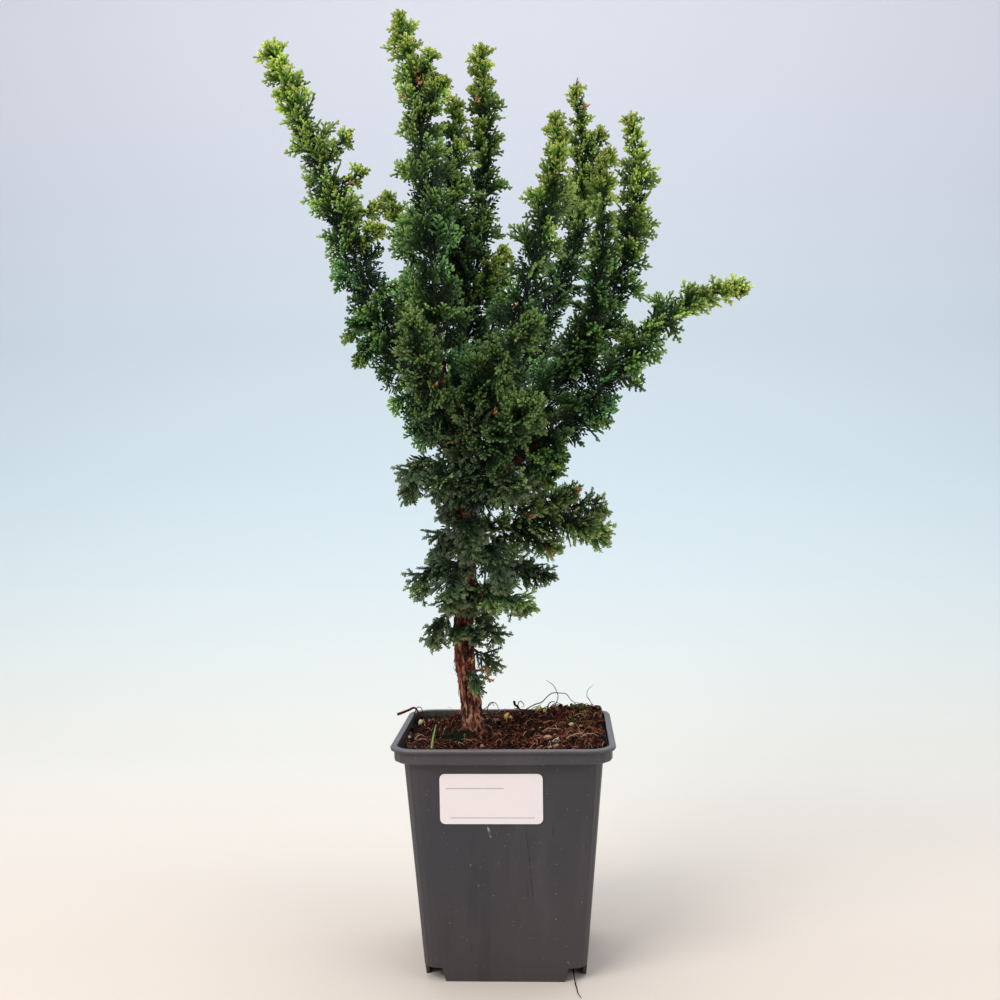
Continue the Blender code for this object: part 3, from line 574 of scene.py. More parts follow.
class Stem:
    """One leafy stem: its line, the length along it, and how far its sprays reach."""

    def __init__(self, name, points, bare, reach_start, reach_tip, droop, young=0):
        self.name, self.bare, self.droop, self.young = name, bare * MM, droop, young
        self.reach_start, self.reach_tip = reach_start * MM, reach_tip * MM
        self.line = smooth_line(np.array(points) * MM, LINE_STEP)
        steps = np.linalg.norm(np.diff(self.line, axis=0), axis=1)
        self.lengths = np.concatenate([[0.0], np.cumsum(steps)])
        self.length = self.lengths[-1]
        self.frames = frames_along(self.line)

    def read(self, rows, distance):
        """The rows' values at a distance along the stem."""
        distance = np.asarray(distance)
        return np.stack([np.interp(distance, self.lengths, rows[:, k]) for k in range(3)], -1)

    def at(self, distance):
        return self.read(self.line, distance)

    def share(self, distance):
        """0 where the leafy part begins and 1 at the tip."""
        return np.clip((distance - self.bare) / (self.length - self.bare), 0.0, 1.0)

    def reach(self, distance):
        """How far the sprays stand out from the stem."""
        fall = self.share(distance) ** 1.4
        return self.reach_start + (self.reach_tip - self.reach_start) * fall


YOUNG_ABOVE = 340  # mm: side shoots that end higher are this year's, and lower ones are old
stems = [Stem(*row) for row in BRANCHES]
stems += [Stem(*row, young=1 if row[1][-1][2] > YOUNG_ABOVE else -1) for row in SIDE_SHOOTS]
print(len(stems), "leafy stems,", round(sum(s.length - s.bare for s in stems) * 1000), "mm in all")

# %% [markdown]
# ## One spray
#
# The foliage of this cypress is made of flat little fronds. Each has a midrib with
# feathers to both sides, like a fern, and every feather is a thin rib with pairs of
# short pointed lobes, each wrapped in scale leaves.
#
# Real fronds could be leaf pictures on flat cards, which look right only from far off
# and need an image. Here a rib has nine triangles and a lobe two, so even the smallest
# teeth are real geometry.

# %% A feather of lobes
CROWN = {"rib": 0.64 * MM, "lobe": 1.0 * MM, "wide": 0.42, "step": 1.3 * MM, "apart": 1.55 * MM,
         "feather": 6.0 * MM, "spread": 0.42, "twist": 0.3, "angles": (42, 60)}
FERN = {"rib": 0.50 * MM, "lobe": 1.3 * MM, "wide": 0.24, "step": 0.95 * MM, "apart": 2.7 * MM,
        "feather": 6.5 * MM, "spread": 0.5, "twist": 0.25, "angles": (28, 46)}
RIB_ENDS = ((0.0, 0.55), (0.86, 1.0))  # place along a rib, and its width there
THREE_WAYS = (math.pi / 2, math.pi * 7 / 6, math.pi * 11 / 6)
RIB_TRIANGLES = ((0, 1, 4), (1, 2, 5), (2, 0, 3), (0, 4, 3), (1, 5, 4), (2, 3, 5),
                 (3, 4, 6), (4, 5, 6), (5, 3, 6))


def feather(heap, base, direction, normal, length, start, rng, style):
    """One feather of a frond. start is how far out on the frond it begins, 0 to 1."""
    aim = direction / np.linalg.norm(direction)
    side = np.cross(normal, aim)
    side /= np.linalg.norm(side)
    up = np.cross(aim, side)
    points, along = [], []
    for place, width in RIB_ENDS:
        for turn in THREE_WAYS:
            out = math.cos(turn) * side + math.sin(turn) * up
            points.append(base + aim * length * place + style["rib"] * width * out)
            along.append(place)
    points.append(base + aim * length)
    along.append(1.0)
    triangles = list(RIB_TRIANGLES)
    x = 0.7 * MM
    while x < length - 0.4 * MM:
        share = x / length
        for way in (-1, 1):
            size = style["lobe"] * (1.0 - 0.25 * share) * rng.uniform(0.8, 1.15)
            foot = base + aim * (x + way * 0.2 * MM)
            tip = foot + (side * way * 0.8 + aim * 0.6 + up * rng.uniform(-0.3, 0.4)) * size
            first, wide = len(points), style["wide"] * size
            end = (aim * 0.8 - side * way * 0.4) * wide
            points += [foot - aim * wide, foot + aim * wide, tip + end, tip - end - up * 0.3 * wide]
            # Partly painted light: a lobe's tip gets a higher growth value, which its material
            # draws lighter.
            along += [share, share, min(share + 0.25, 1.0), min(share + 0.2, 1.0)]
            triangles += [(first, first + 1, first + 2), (first, first + 2, first + 3)]
        x += style["step"] * rng.uniform(0.9, 1.1)
    along = np.array(along)
    growth = np.clip(start + along * (1 - start) * 0.9, 0, 1)
    heap.add(np.array(points), np.array(triangles), growth=growth, scales=along * length / MM)


trial = Heap()
feather(trial, np.zeros(3), np.array((1.0, 0, 0)), np.array((0, 0, 1.0)), 6 * MM, 0.0,
        random.Random(1), CROWN)
print("a feather of 6 mm has", len(trial.triangles[0]), "triangles")

# %% [markdown]
# A frond is a midrib with feathers to the left and right in turn, longest near the
# root. Those in the crown stand close and wide, and the old low ones are looser, with
# narrower lobes, like a fern. The style tables above say which is which.

# %% A frond of feathers
MIDRIB_POINTS = 4


def turned(direction, normal, angle):
    """The direction turned by the angle about the normal."""
    return direction * math.cos(angle) + np.cross(normal, direction) * math.sin(angle)


def frond(length, rng, style):
    """A frond that grows along X in the XY plane. growth is 0 at its root, 1 at its tips."""
    heap = Heap()
    normal = np.array((0.0, 0.0, 1.0))
    sag = rng.uniform(-0.10, 0.02)

    def midrib(x):
        return np.array((x, 0.0, sag * x * x / length))

    xs = np.linspace(0.0, length * 0.9, MIDRIB_POINTS)
    widths = np.linspace(0.7, 0.5, MIDRIB_POINTS) * MM
    points, triangles = tube([midrib(x) for x in xs], widths, 3, closed_end=False)
    heap.add(points, triangles, growth=np.repeat(xs / length * 0.6, 3),
             scales=np.repeat(xs / MM, 3))
    side = rng.choice((-1, 1))
    x = length * rng.uniform(0.18, 0.26)
    while x < length * 0.9:
        room = (length - x) * style["spread"] + 2.0 * MM
        size = min(room, style["feather"]) * rng.uniform(0.8, 1.12)
        angle = side * math.radians(rng.uniform(*style["angles"]))
        along = np.array((1.0, 0.0, 2 * sag * x / length))
        aim = turned(along / np.linalg.norm(along), normal, angle)
        aim = aim + normal * rng.uniform(-1, 1) * style["twist"]
        feather(heap, midrib(x), aim, normal, size, x / length, rng, style)
        side = -side
        x += style["apart"] * rng.uniform(0.88, 1.12)
    end = np.array((1.0, 0.0, 2 * sag))
    feather(heap, midrib(length * 0.84), end, normal, 3.0 * MM, 0.84, rng, style)
    return heap


whole = frond(11 * MM, random.Random(1), CROWN)
print("a crown frond of 11 mm has", sum(len(rows) for rows in whole.triangles), "triangles")

# %% [markdown]
# Deep in a plume the teeth can't be seen. A frond there has the same outline but one
# bent leaf of two triangles for each feather, which saves most of the triangles. Every
# frond is then built once for each size and variant, since copying arrays is far faster
# than building thousands of fronds one by one.

# %% Shade fronds, and a book of every size
FROND_SIZES = (5, 7, 9, 11, 13.5, 16, 19, 22)  # mm
VARIANTS = 10


def shade_frond(length, rng, style):
    """A frond from deep inside: the same outline with one bent leaf for each feather."""
    heap = Heap()
    x, side = 0.12 * length, rng.choice((-1, 1))
    while x < length:
        size = min((length - x) * 0.5 + 2.0 * MM, 6.0 * MM) * rng.uniform(0.8, 1.1)
        angle = side * math.radians(rng.uniform(30, 55)) * (1 if x < 0.9 * length else 0.2)
        aim = np.array((math.cos(angle), math.sin(angle), rng.uniform(-0.3, 0.3)))
        wide = np.array((-aim[1], aim[0], rng.uniform(-0.5, 0.5))) * 0.55 * MM
        root = np.array((x, 0.0, 0.0))
        middle = root + aim * size * 0.6
        points = [root, middle + wide, middle - wide, root + aim * size]
        # Painted shade: growth stays low here, so these fronds are drawn in the ramps' dark
        # colours.
        heap.add(np.array(points), np.array([(0, 2, 1), (1, 2, 3)]), scales=x / MM,
                 growth=x / length * 0.4 + np.array((0.0, 0.12, 0.12, 0.2)))
        side = -side
        x += style["apart"] * rng.uniform(0.8, 1.2)
    return heap


def make_fronds(style, build=frond):
    """The arrays of every variant of every size, keyed by size."""
    book = {}
    for size in FROND_SIZES:
        book[size] = []
        for variant in range(VARIANTS):
            heap = build(size * MM, random.Random(size * 100 + variant), style)
            values = {key: np.concatenate(rows) for key, rows in heap.values.items()}
            points, triangles = np.concatenate(heap.points), np.concatenate(heap.triangles)
            book[size].append((points, triangles, values))
    return book


CROWN_FRONDS, FERN_FRONDS = make_fronds(CROWN), make_fronds(FERN)
SHADE_FRONDS = make_fronds({"apart": 1.1 * MM}, shade_frond)
for size in FROND_SIZES:
    counts = [len(book[size][0][1]) for book in (CROWN_FRONDS, FERN_FRONDS, SHADE_FRONDS)]
    print("fronds of", size, "mm have", counts, "triangles in crown, fern and shade")

# %% [markdown]
# ## Where the sprays go
#
# One frond alone looks flat and thin. On the plant each is a small branchlet: a frond
# with two smaller ones that fork from it at other tilts, so that foliage grows in
# clumps. Each takes the frond of the nearest size from the book and is scaled a little.

# %% One branchlet
def lump(place, scale, seed=0.0):
    """Smooth noise between about -1 and 1, whose lumps are scale metres across."""
    return noise(Vector(place) / scale + Vector((seed, seed, seed)))


def add_frond(heap, book, root, direction, normal, length, rng, start=0.0, **values):
    """One frond of the nearest size in the book, scaled a little, at its root."""
    size = min(FROND_SIZES, key=lambda known: abs(known * MM - length))
    points, triangles, own = rng.choice(book[size])
    side = np.cross(normal, direction)
    side /= np.linalg.norm(side)
    matrix = np.stack([direction, side, np.cross(direction, side)], 1)
    scale = length / (size * MM)
    placed = (points * (scale, 0.5 + 0.5 * scale, 0.5 + 0.5 * scale)) @ matrix.T + root
    growth = start + (1 - start) * own["growth"]
    heap.add(placed, triangles, growth=growth, scales=own["scales"], **values)


def add_branchlet(heap, book, root, direction, normal, length, rng, fresh, shade=1.0):
    """A frond with two smaller ones that fork from it, so that foliage grows in clumps."""
    # Painted light and shade: a brightness for the branchlet's colour, set by how lit or shaded its
    # stem is painted and partly at random.
    mood = shade * rng.random() ** (1.4 - 0.5 * fresh)
    add_frond(heap, book, root, direction, normal, length, rng, fresh=fresh, mood=mood)
    across = np.cross(normal, direction)
    forks = ((0.28, 1), (0.5, -1)) if length > 6 * MM else ((0.35, rng.choice((-1, 1))),)
    for share, way in forks:
        tilt = rng.uniform(-0.7, 0.7)
        axis = normal * math.cos(tilt) + across * math.sin(tilt)
        aim = turned(direction, axis, way * math.radians(rng.uniform(30, 52)))
        flat = normal - aim * (aim @ normal)
        flat = turned(flat / np.linalg.norm(flat), aim, rng.uniform(-0.5, 0.5))
        size = length * (1 - share) * rng.uniform(0.8, 1.1) + 1.0 * MM
        add_frond(heap, book, root + direction * length * share, aim, flat, size, rng, share * 0.7,
                  fresh=fresh, mood=min(1.4, mood * rng.uniform(0.85, 1.15)))


print("a branchlet has three fronds, or two where it is short")

# %% [markdown]
# Branchlets leave the stem one after the other, each turned on by the golden angle of
# 137.5°, which is how real shoots avoid shading each other. On the upright plumes every
# second one stands close beside the last, so that the tips show distinct clumps. Low
# down they stand out and droop, and towards the tip they close up against the stem.
# Old hanging sprays turn their flat side out from the trunk and up to the light.

# %% Which way a spray grows
GOLDEN_ANGLE = math.radians(137.507764)
OPEN_START, OPEN_TIP = math.radians(66), math.radians(40)
LIGHT_SIDE = (0.0, -0.55, 0.45)


def frond_direction(stem, distance, angle, opening, droop):
    """The way a spray grows: out from the stem and forwards, then pulled down."""
    along, across, other = (stem.read(rows, distance) for rows in stem.frames)
    out = across * math.cos(angle) + other * math.sin(angle)
    direction = along * math.cos(opening) + out * math.sin(opening)
    direction[2] -= droop
    return direction / np.linalg.norm(direction), out, along


def sunny_side(place):
    """The way hanging sprays face: out from the trunk, turned to the light in front."""
    out = unit(np.array((place[0] + 20 * MM, place[1] - 2 * MM, 0.001 * MM)))
    return 0.7 * out + LIGHT_SIDE


print("sprays open by", round(math.degrees(OPEN_START)), "degrees at the foot and by",
      round(math.degrees(OPEN_TIP)), "at the tip")

# %% [markdown]
# New growth is yellow-green and sits at the tips of the leaders. Lower down the foliage
# is older and bluish. A patch of slow noise lets young and old growth mingle, as it
# does where buds break at different times.

# %% How young the foliage is
YOUNG_FROM = 0.38  # share of a leader's leafy length where young growth starts


def freshness(stem, share, root, rng):
    """1 for this year's yellow-green growth, 0 for old bluish foliage."""
    if stem.name.startswith("leader"):
        young = max(0.0, (share - YOUNG_FROM) / (1 - YOUNG_FROM)) ** 1.3
        young += 0.22 * lump(root, 22 * MM, 7.0) + 0.45 * stem.young
        return float(np.clip(young + rng.uniform(-0.12, 0.14) + 0.10, 0, 1))
    if stem.name in ("spray_right_bright", "cluster_front_low"):
        young = 0.45 if stem.name == "spray_right_bright" else 0.2
        return float(np.clip(0.05 + young * share + rng.uniform(-0.1, 0.15), 0, 1))
    base = 0.12 if stem.name.startswith("cluster") else 0.02
    base = 0.2 if stem.name == "spray_right_high" else base
    return float(np.clip(base + 0.15 * share + rng.uniform(-0.05, 0.15), 0, 1))


tip = freshness(stems[0], 1.0, stems[0].at(stems[0].length), random.Random(1))
print("freshness at the tip of", stems[0].name, "is", round(tip, 2))

# %% [markdown]
# The length of a spray follows the stem's reach, with slow lumps so that the outline
# swells and thins as on the plant. More of them grow where the reach is larger, so that
# the surface is covered evenly. With each go up to four shade fronds, shorter and
# darker, which close the plume inside. Some stems stand in the shade of others, and the
# table says how far the brightness of their sprays may differ.

# %% Sprays at one place
LONG_REACH = 8 * MM
SHADE_FULL = ((1.0, 0.4), (2.3, 0.9), (3.6, 0.5), (4.9, 0.8))  # turn, share of the opening
SHADE_SLIM = ((2.0, 0.6),)


def flat_side(hanging, root, direction, along, rng):
    """Which way a spray's flat side faces, square to the way it grows."""
    face = sunny_side(root) if hanging else np.cross(direction, along)
    normal = face - direction * (face @ direction)
    return turned(normal / np.linalg.norm(normal), direction, rng.gauss(0, 0.55))


def add_shade_fronds(heap, stem, distance, aim, reach, fresh, rng):
    """Fronds round the place of one branchlet, painted dark as shade, which close the plume inside.
    """
    angle, opening, droop = aim
    for turn, closed in SHADE_FULL if reach > LONG_REACH else SHADE_SLIM:
        direction, out, along = frond_direction(stem, distance, angle + turn,
                                                opening * closed, droop)
        normal = unit(np.cross(direction, out + rng.uniform(-1, 1) * along))
        length = reach * rng.uniform(0.45, 0.85)
        # Painted shade: a low brightness value draws these fronds darker still.
        add_frond(heap, SHADE_FRONDS, stem.at(distance), direction, normal, length, rng,
                  fresh=0.6 * fresh, mood=0.25 * rng.random())


def close_tip(heap, book, stem, angle, rng):
    """Three branchlets at the very tip, each more open than the last."""
    for turn in range(3):
        opening = 0.12 + 0.28 * turn
        distance = stem.length - (2 + turn) * MM
        direction, out, along = frond_direction(stem, distance, angle, opening, 0)
        angle += GOLDEN_ANGLE
        normal = np.cross(direction, out + 0.1 * along)
        length = stem.reach_tip * rng.uniform(0.5, 0.75) + 1.0 * MM
        root = stem.at(distance)
        add_branchlet(heap, book, root, direction, normal / np.linalg.norm(normal), length, rng,
                      freshness(stem, 1.0, root, rng))


print("round a branchlet go", len(SHADE_FULL), "shade fronds, or", len(SHADE_SLIM),
      "where the stem's reach is short")

# %% Cover a stem with sprays
BRANCHLETS_PER_MM, USUAL_REACH, THINNING = 0.53, 12 * MM, 0.6
PAIR_STEP, REST_STEP = 0.35, 1.65  # a short step to the second of a pair, then a long one
# How lit each stem's sprays are painted: below 1 is painted shade, above 1 painted light.
SHADED = {"cluster_front": 0.2, "cluster": 0.4, "cluster_right": 0.7, "spray_front": 0.28,
          "column_front": 0.4, "column": 0.8, "spray_left": 0.8, "spray_right": 1.4,
          "spray_right_high": 1.7, "leader_left": 1.4, "leader_front": 0.8, "leader_right": 1.2,
          "leader_outer": 1.4}


def cover_stem(heap, stem, seed):
    """Branchlets all along one stem, from its bare wood to its tip. Returns how many."""
    rng = random.Random(seed)
    hanging = stem.name.startswith(("column", "spray"))
    book = FERN_FRONDS if hanging else CROWN_FRONDS
    group = stem.name.rsplit("_", 1)[0]
    shade = SHADED.get(stem.name, SHADED.get(group, 1.0))
    distance, angle = stem.bare + 1.0 * MM, rng.uniform(0, 2 * math.pi)
    count = 0
    while distance < stem.length - 2.0 * MM:
        share, reach = float(stem.share(distance)), float(stem.reach(distance))
        reach *= 1 - 0.45 * max(0.0, (share - 0.72) / 0.28)
        second = not hanging and count % 2 == 1
        if second:
            angle += rng.choice((-1, 1)) * rng.uniform(0.2, 0.45)
            opening += rng.uniform(-0.2, 0.2)
        else:
            angle += GOLDEN_ANGLE + rng.uniform(-0.3, 0.3)
            opening = OPEN_START + (OPEN_TIP - OPEN_START) * share + rng.uniform(-0.25, 0.25)
        if hanging and stem.reach_start < 10 * MM:
            reach *= min(1.0, 0.5 + (distance - stem.bare) / (10 * MM))
        sag = (1.9 - 0.8 * share) if hanging else (1 - share)
        droop = stem.droop * sag * rng.uniform(0.5, 1.3)
        direction, out, along = frond_direction(stem, distance, angle, opening, droop)
        root = stem.at(distance)
        lean = max(0.6, np.linalg.norm(np.cross(direction, along)))
        swell = 1.0 + 0.35 * lump(root + out * reach, 12 * MM)
        length = reach / lean * swell * rng.uniform(0.78, 1.1)
        normal = flat_side(hanging, root, direction, along, rng)
        fresh = freshness(stem, share, root, rng)
        add_branchlet(heap, book, root, direction, normal, length, rng, fresh, shade)
        add_shade_fronds(heap, stem, distance, (angle, opening, droop), reach, fresh, rng)
        thinning = (reach / USUAL_REACH) ** THINNING / swell * (1.1 if hanging else 0.97)
        if stem.name.startswith("leader_rear"):
            thinning *= 1.25
        if not hanging:
            thinning *= REST_STEP if second else PAIR_STEP
        distance += MM / BRANCHLETS_PER_MM * thinning * rng.uniform(0.6, 1.4)
        count += 1
    close_tip(heap, book, stem, angle, rng)
    return count


print("about", BRANCHLETS_PER_MM, "branchlets go on each millimetre of a stem")

# %% [markdown]
# ## The stem inside
#
# Every plume grows on a thin stem that is covered in old scale leaves. A lumpy tube
# stands for it, and the sprays hide nearly all of it.

# %% The stem inside
INNER_SHARE, INNER_STEP = 0.06, 1.6 * MM  # radius as a share of the reach


def add_inner_stem(heap, stem):
    """A lumpy tube along the leafy part of a stem."""
    first = stem.bare + 2.0 * MM
    distances = np.arange(first, stem.length - 2 * MM, INNER_STEP)
    line = stem.at(distances)
    sides = 14 if stem.reach_start > 12.5 * MM else 10
    turn = np.linspace(0, 2 * np.pi, sides, endpoint=False)
    _, across, other = (stem.read(rows, distances) for rows in stem.frames)
    out = spokes(across, other, turn)
    usual = np.minimum(INNER_SHARE * stem.reach(distances), 1.0 * MM + 0.7 * (distances - first))
    radii = np.zeros((len(line), sides))
    for row, middle in enumerate(line):
        for side in range(sides):
            place = middle + out[row, side] * usual[row]
            rough = lump(place, 2.6 * MM, 3.0) * 0.42 + lump(place, 9 * MM, 5.0) * 0.3
            radii[row, side] = usual[row] * (1 + rough)
    points, triangles = tube(line, radii, sides)
    growth = np.append(np.clip((radii / usual[:, None]).ravel() * 0.5 - 0.6, -0.2, 0.1), 0.0)
    # Painted shade: the tube gets growth values at the ramps' dark end and a low brightness, so it
    # is drawn near black as the shaded inside of a plume.
    heap.add(points, triangles, growth=growth, scales=0.1, fresh=0.0, mood=0.1)


trial = Heap()
add_inner_stem(trial, stems[0])
print("the tube inside", stems[0].name, "has", len(trial.triangles[0]), "triangles")

# %% [markdown]
# ## The colour of the foliage
#
# The colour runs along every frond, from near black green at its root through a full
# green to a lighter tip, and along the plant, from bluish green low down to yellow-green
# at the tips, where the very ends are touched with olive brown. The attributes stored
# on the points drive it. Scale leaves overlap about every millimetre, so a saw wave
# along each finger gives them as relief, and fine noise breaks the waxy sheen.

# %% Foliage material
# Partly painted shade and light: the near black at each frond's root is painted shade of the
# plume's depth, and the light tips are partly young growth and partly painted light.
CROWN_GREEN = ((0.0, (0.002, 0.005, 0.002)), (0.40, (0.005, 0.022, 0.006)),
               (0.80, (0.027, 0.103, 0.027)), (1.0, (0.178, 0.405, 0.115)))
BLUISH_GREEN = ((0.0, (0.002, 0.005, 0.003)), (0.40, (0.008, 0.019, 0.012)),
                (0.80, (0.029, 0.060, 0.040)), (1.0, (0.165, 0.225, 0.165)))
YOUNG_GREEN = ((0.0, (0.004, 0.017, 0.003)), (0.35, (0.032, 0.112, 0.010)),
               (0.75, (0.245, 0.460, 0.032)), (1.0, (0.740, 0.860, 0.150)))
WITHERED_BROWN = ((0.0, (0.020, 0.010, 0.006)), (0.12, (0.10, 0.028, 0.012)),
                  (0.6, (0.34, 0.11, 0.030)), (1.0, (0.55, 0.26, 0.08)))
WITHERED_MOOD = 1.5  # a spray whose stored light-and-shade value is above this is dead


def foliage_material(name, old_colours):
    """Scale foliage from its root to its tip, old or young, living or withered."""
    material, tree, shader = make_material(name)
    growth, fresh = attribute(tree, "growth"), attribute(tree, "fresh")
    mood, scales = attribute(tree, "mood"), attribute(tree, "scales")
    old, young = ramp(tree, growth, *old_colours), ramp(tree, growth, *YOUNG_GREEN)
    colour = mix(tree, fresh, old, young)
    patch = grain(tree, 90.0, 3.0)
    colour = mix(tree, number(tree, "MULTIPLY", patch, 0.5), colour, (0.023, 0.075, 0.015))
    # Painted light and shade: each spray's stored value darkens or lightens its colour.
    dim = number(tree, "MULTIPLY_ADD", mood, 0.85, 0.50)
    dimmed = add(tree, "ShaderNodeCombineColor", {"Red": dim, "Green": dim, "Blue": dim})
    colour = mix(tree, 1.0, colour, dimmed.outputs["Color"], "MULTIPLY")
    very_tip, very_young = number(tree, "POWER", growth, 9.0), number(tree, "POWER", fresh, 3.0)
    brown = number(tree, "MULTIPLY", very_tip, very_young)
    chance = number(tree, "FRACT", number(tree, "MULTIPLY", mood, 37.0))
    spotty = number(tree, "GREATER_THAN", chance, 0.45)
    brown = number(tree, "MULTIPLY", number(tree, "MULTIPLY", brown, spotty), 0.45)
    colour = mix(tree, brown, colour, (0.26, 0.15, 0.03))
    scale_leaf = number(tree, "FRACT", number(tree, "MULTIPLY", scales, 0.95))
    edge = number(tree, "MULTIPLY", number(tree, "POWER", scale_leaf, 3.0), 0.3)
    colour = mix(tree, edge, colour, (0.08, 0.17, 0.05))
    fine = grain(tree, 1400.0, 3.0)
    height = number(tree, "MULTIPLY_ADD", fine, 0.5, number(tree, "MULTIPLY", scale_leaf, 0.8))
    withered = number(tree, "GREATER_THAN", mood, WITHERED_MOOD)
    colour = mix(tree, withered, colour, ramp(tree, growth, *WITHERED_BROWN))
    roughness = number(tree, "MULTIPLY_ADD", fine, 0.3, 0.36)
    relief = bump(tree, height, 0.0004, 0.7)
    connect(tree, shader, Base_Color=colour, Roughness=roughness, Normal=relief)
    shader.inputs["Specular IOR Level"].default_value = 0.4
    return material


FOLIAGE = foliage_material("green_scale_foliage", CROWN_GREEN)
BLUISH = foliage_material("bluish_scale_foliage", BLUISH_GREEN)
print("materials:", FOLIAGE.name, "and", BLUISH.name)

# %% [markdown]
# ## Withered sprays
#
# Here and there a spray has died back and turned orange, mostly low on the trunk and at the
# tips of two leaders. They're few, so they're placed one by one. They share the foliage's
# material: a value past the usual range of painted light and shade tells the shader they're dead.

# %% Withered sprays
WITHERED = (  # the stem it hangs on, its place in mm, the way it points, its length in mm
    ("column_front_mid", (-14, -14, 192), (0.5, -0.5, -0.4), 5),
    ("column_front_mid", (-12, -14, 190), (0.7, -0.3, -0.6), 4),
    ("column_front_high", (-24, -15, 201), (-0.3, -0.6, -0.5), 4),
    ("spray_trunk_front", (-19, -8, 153), (0.4, -0.6, 0.3), 4),
    ("spray_trunk_front", (-15, -9, 149), (0.9, -0.3, 0.1), 6),
    ("spray_trunk_front", (-12, -9, 146), (0.9, -0.2, -0.3), 5),
    ("leader_tall", (-45, -10, 455), (0.7, -0.5, -0.4), 5),
    ("leader_tall", (-42, -14, 448), (0.6, -0.6, -0.4), 4),
    ("leader_tall", (-48, -14, 440), (0.2, -0.8, -0.3), 4),
    ("leader_middle", (-12, 14, 446), (0.1, -0.9, -0.5), 6),
    ("leader_left", (-80, 6, 400), (0.7, -0.5, 0.3), 4),
    ("cluster_front_left", (-30, -62, 292), (0.3, -0.8, 0.1), 4),
    ("leader_front", (8, -44, 330), (0.2, -0.9, 0.2), 4),
    ("leader_back", (40, 53, 460), (0.1, -0.5, 0.9), 4),
    ("leader_back", (43, 52, 448), (0.8, -0.5, 0.4), 4),
    ("leader_back", (52, 50, 434), (0.9, -0.4, 0.2), 4),
    ("cluster_front_low", (-2, -58, 278), (0.2, -0.8, 0.3), 4),
)


def add_withered(heap, name):
    """The withered sprays of one stem."""
    for index, (stem_name, place, heading, length) in enumerate(WITHERED):
        if stem_name == name:
            way = unit(np.array(heading))
            flat = unit(np.cross(way, (0.3, 0.2, 0.9)))
            add_frond(heap, FERN_FRONDS, np.array(place) * MM, way, flat, length * MM,
                      random.Random(index), fresh=0.0, mood=WITHERED_MOOD + 0.5)


print(len(WITHERED), "withered sprays on", len({row[0] for row in WITHERED}), "stems")

# %% [markdown]
# ## Grow the foliage
#
# All the stems of one name, a main stem and its side shoots, go into one heap and
# become one mesh, which stands in for the solid of that name. A particle system would
# be quicker to set up, but its copies would have to be made real before an export.

# %% Grow the foliage
FIRST_SEED = 40
total = 0
for name in dict.fromkeys(stem.name for stem in stems):
    heap = Heap()
    fronds = 0
    for index, stem in enumerate(stems):
        if stem.name == name:
            fronds += cover_stem(heap, stem, FIRST_SEED + index)
            add_inner_stem(heap, stem)
    add_withered(heap, name)
    bluish = name.startswith(("column", "spray"))
    piece = heap.piece("foliage_" + name, BLUISH if bluish else FOLIAGE)
    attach(piece, "root")
    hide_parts(name)
    faces = triangles_in(piece)
    total += faces
    print(name, fronds, "sprays,", faces, "triangles")
print("foliage in all:", total, "triangles")

# %% [markdown]
# ## The trunk and its bark
#
# The trunk is a tube whose surface is raised by a formula. Hinoki bark is thin, reddish
# brown and fibrous: it splits into long upright strips, so the noise that makes the
# fissures is stretched along the trunk. The foot widens where the roots leave it.

# %% Bark surface
TRUNK_SIDES = 44
BARK_STEP = 0.7 * MM
FLARE_LEVEL, FLARE_HEIGHT, FLARE_SHARE = 114 * MM, 4.0 * MM, 0.24


def bark_height(turn, distance):
    """How far the bark stands out, as a share of the radius."""
    around = Vector((math.cos(turn), math.sin(turn), 0.0))
    strips = noise(around * 2.6 + Vector((0, 0, distance / (9 * MM))))
    fibres = noise(around * 7.0 + Vector((4, 1, distance / (4 * MM))))
    knobs = noise(around * 1.2 + Vector((9, 2, distance / (8 * MM))))
    flakes = noise(around * 5.0 + Vector((2, 8, distance / (2.2 * MM))))
    fissures = 0.36 - min(abs(strips), 0.36)
    return 0.12 * knobs - 0.34 * fissures + 0.08 * fibres + 0.13 * flakes + 0.08


ring = [bark_height(0.1 * k, 0.0) for k in range(63)]
print("round one ring the bark goes from", round(min(ring), 2), "to", round(max(ring), 2))


# %% The trunk
def make_trunk(heap):
    """The bark's tube. Returns its middle line, the distances along it and its radii."""
    rows = np.array(TRUNK, float) * MM
    line = smooth_line(rows[1:, :3], BARK_STEP)
    distances = np.concatenate([[0], np.cumsum(np.linalg.norm(np.diff(line, axis=0), axis=1))])
    usual = np.interp(line[:, 2], rows[:, 2], rows[:, 3])
    radii = np.zeros((len(line), TRUNK_SIDES))
    height = np.zeros_like(radii)
    for row in range(len(line)):
        rise = (line[row, 2] - FLARE_LEVEL) / FLARE_HEIGHT
        flare = FLARE_SHARE * math.exp(-max(rise, -0.6)) if rise < 4 else 0.0
        for side in range(TRUNK_SIDES):
            turn = 2 * math.pi * side / TRUNK_SIDES
            lobes = 0.55 + 0.45 * math.sin(3 * turn + 0.8) + 0.3 * math.sin(5 * turn)
            height[row, side] = bark_height(turn, distances[row])
            radii[row, side] = usual[row] * (1 + height[row, side] + flare * lobes)
    points, triangles = tube(line, radii, TRUNK_SIDES)
    shade = np.append(np.clip(height.ravel() * 2.2 + 0.62, 0, 1), 0.5)
    heap.add(points, triangles, height=shade)
    return line, distances, usual


wood = Heap()
trunk_line, trunk_distances, trunk_radii = make_trunk(wood)
print("the trunk has", len(trunk_line), "rings of", TRUNK_SIDES, "points")

# %% [markdown]
# Peeling strips are thin curls: one end is still fast to the trunk and the other has
# lifted off. Each is a flat tube of four sides. A plane with a solidify modifier would
# do too, but a tube is closed as it is and bends along any line.

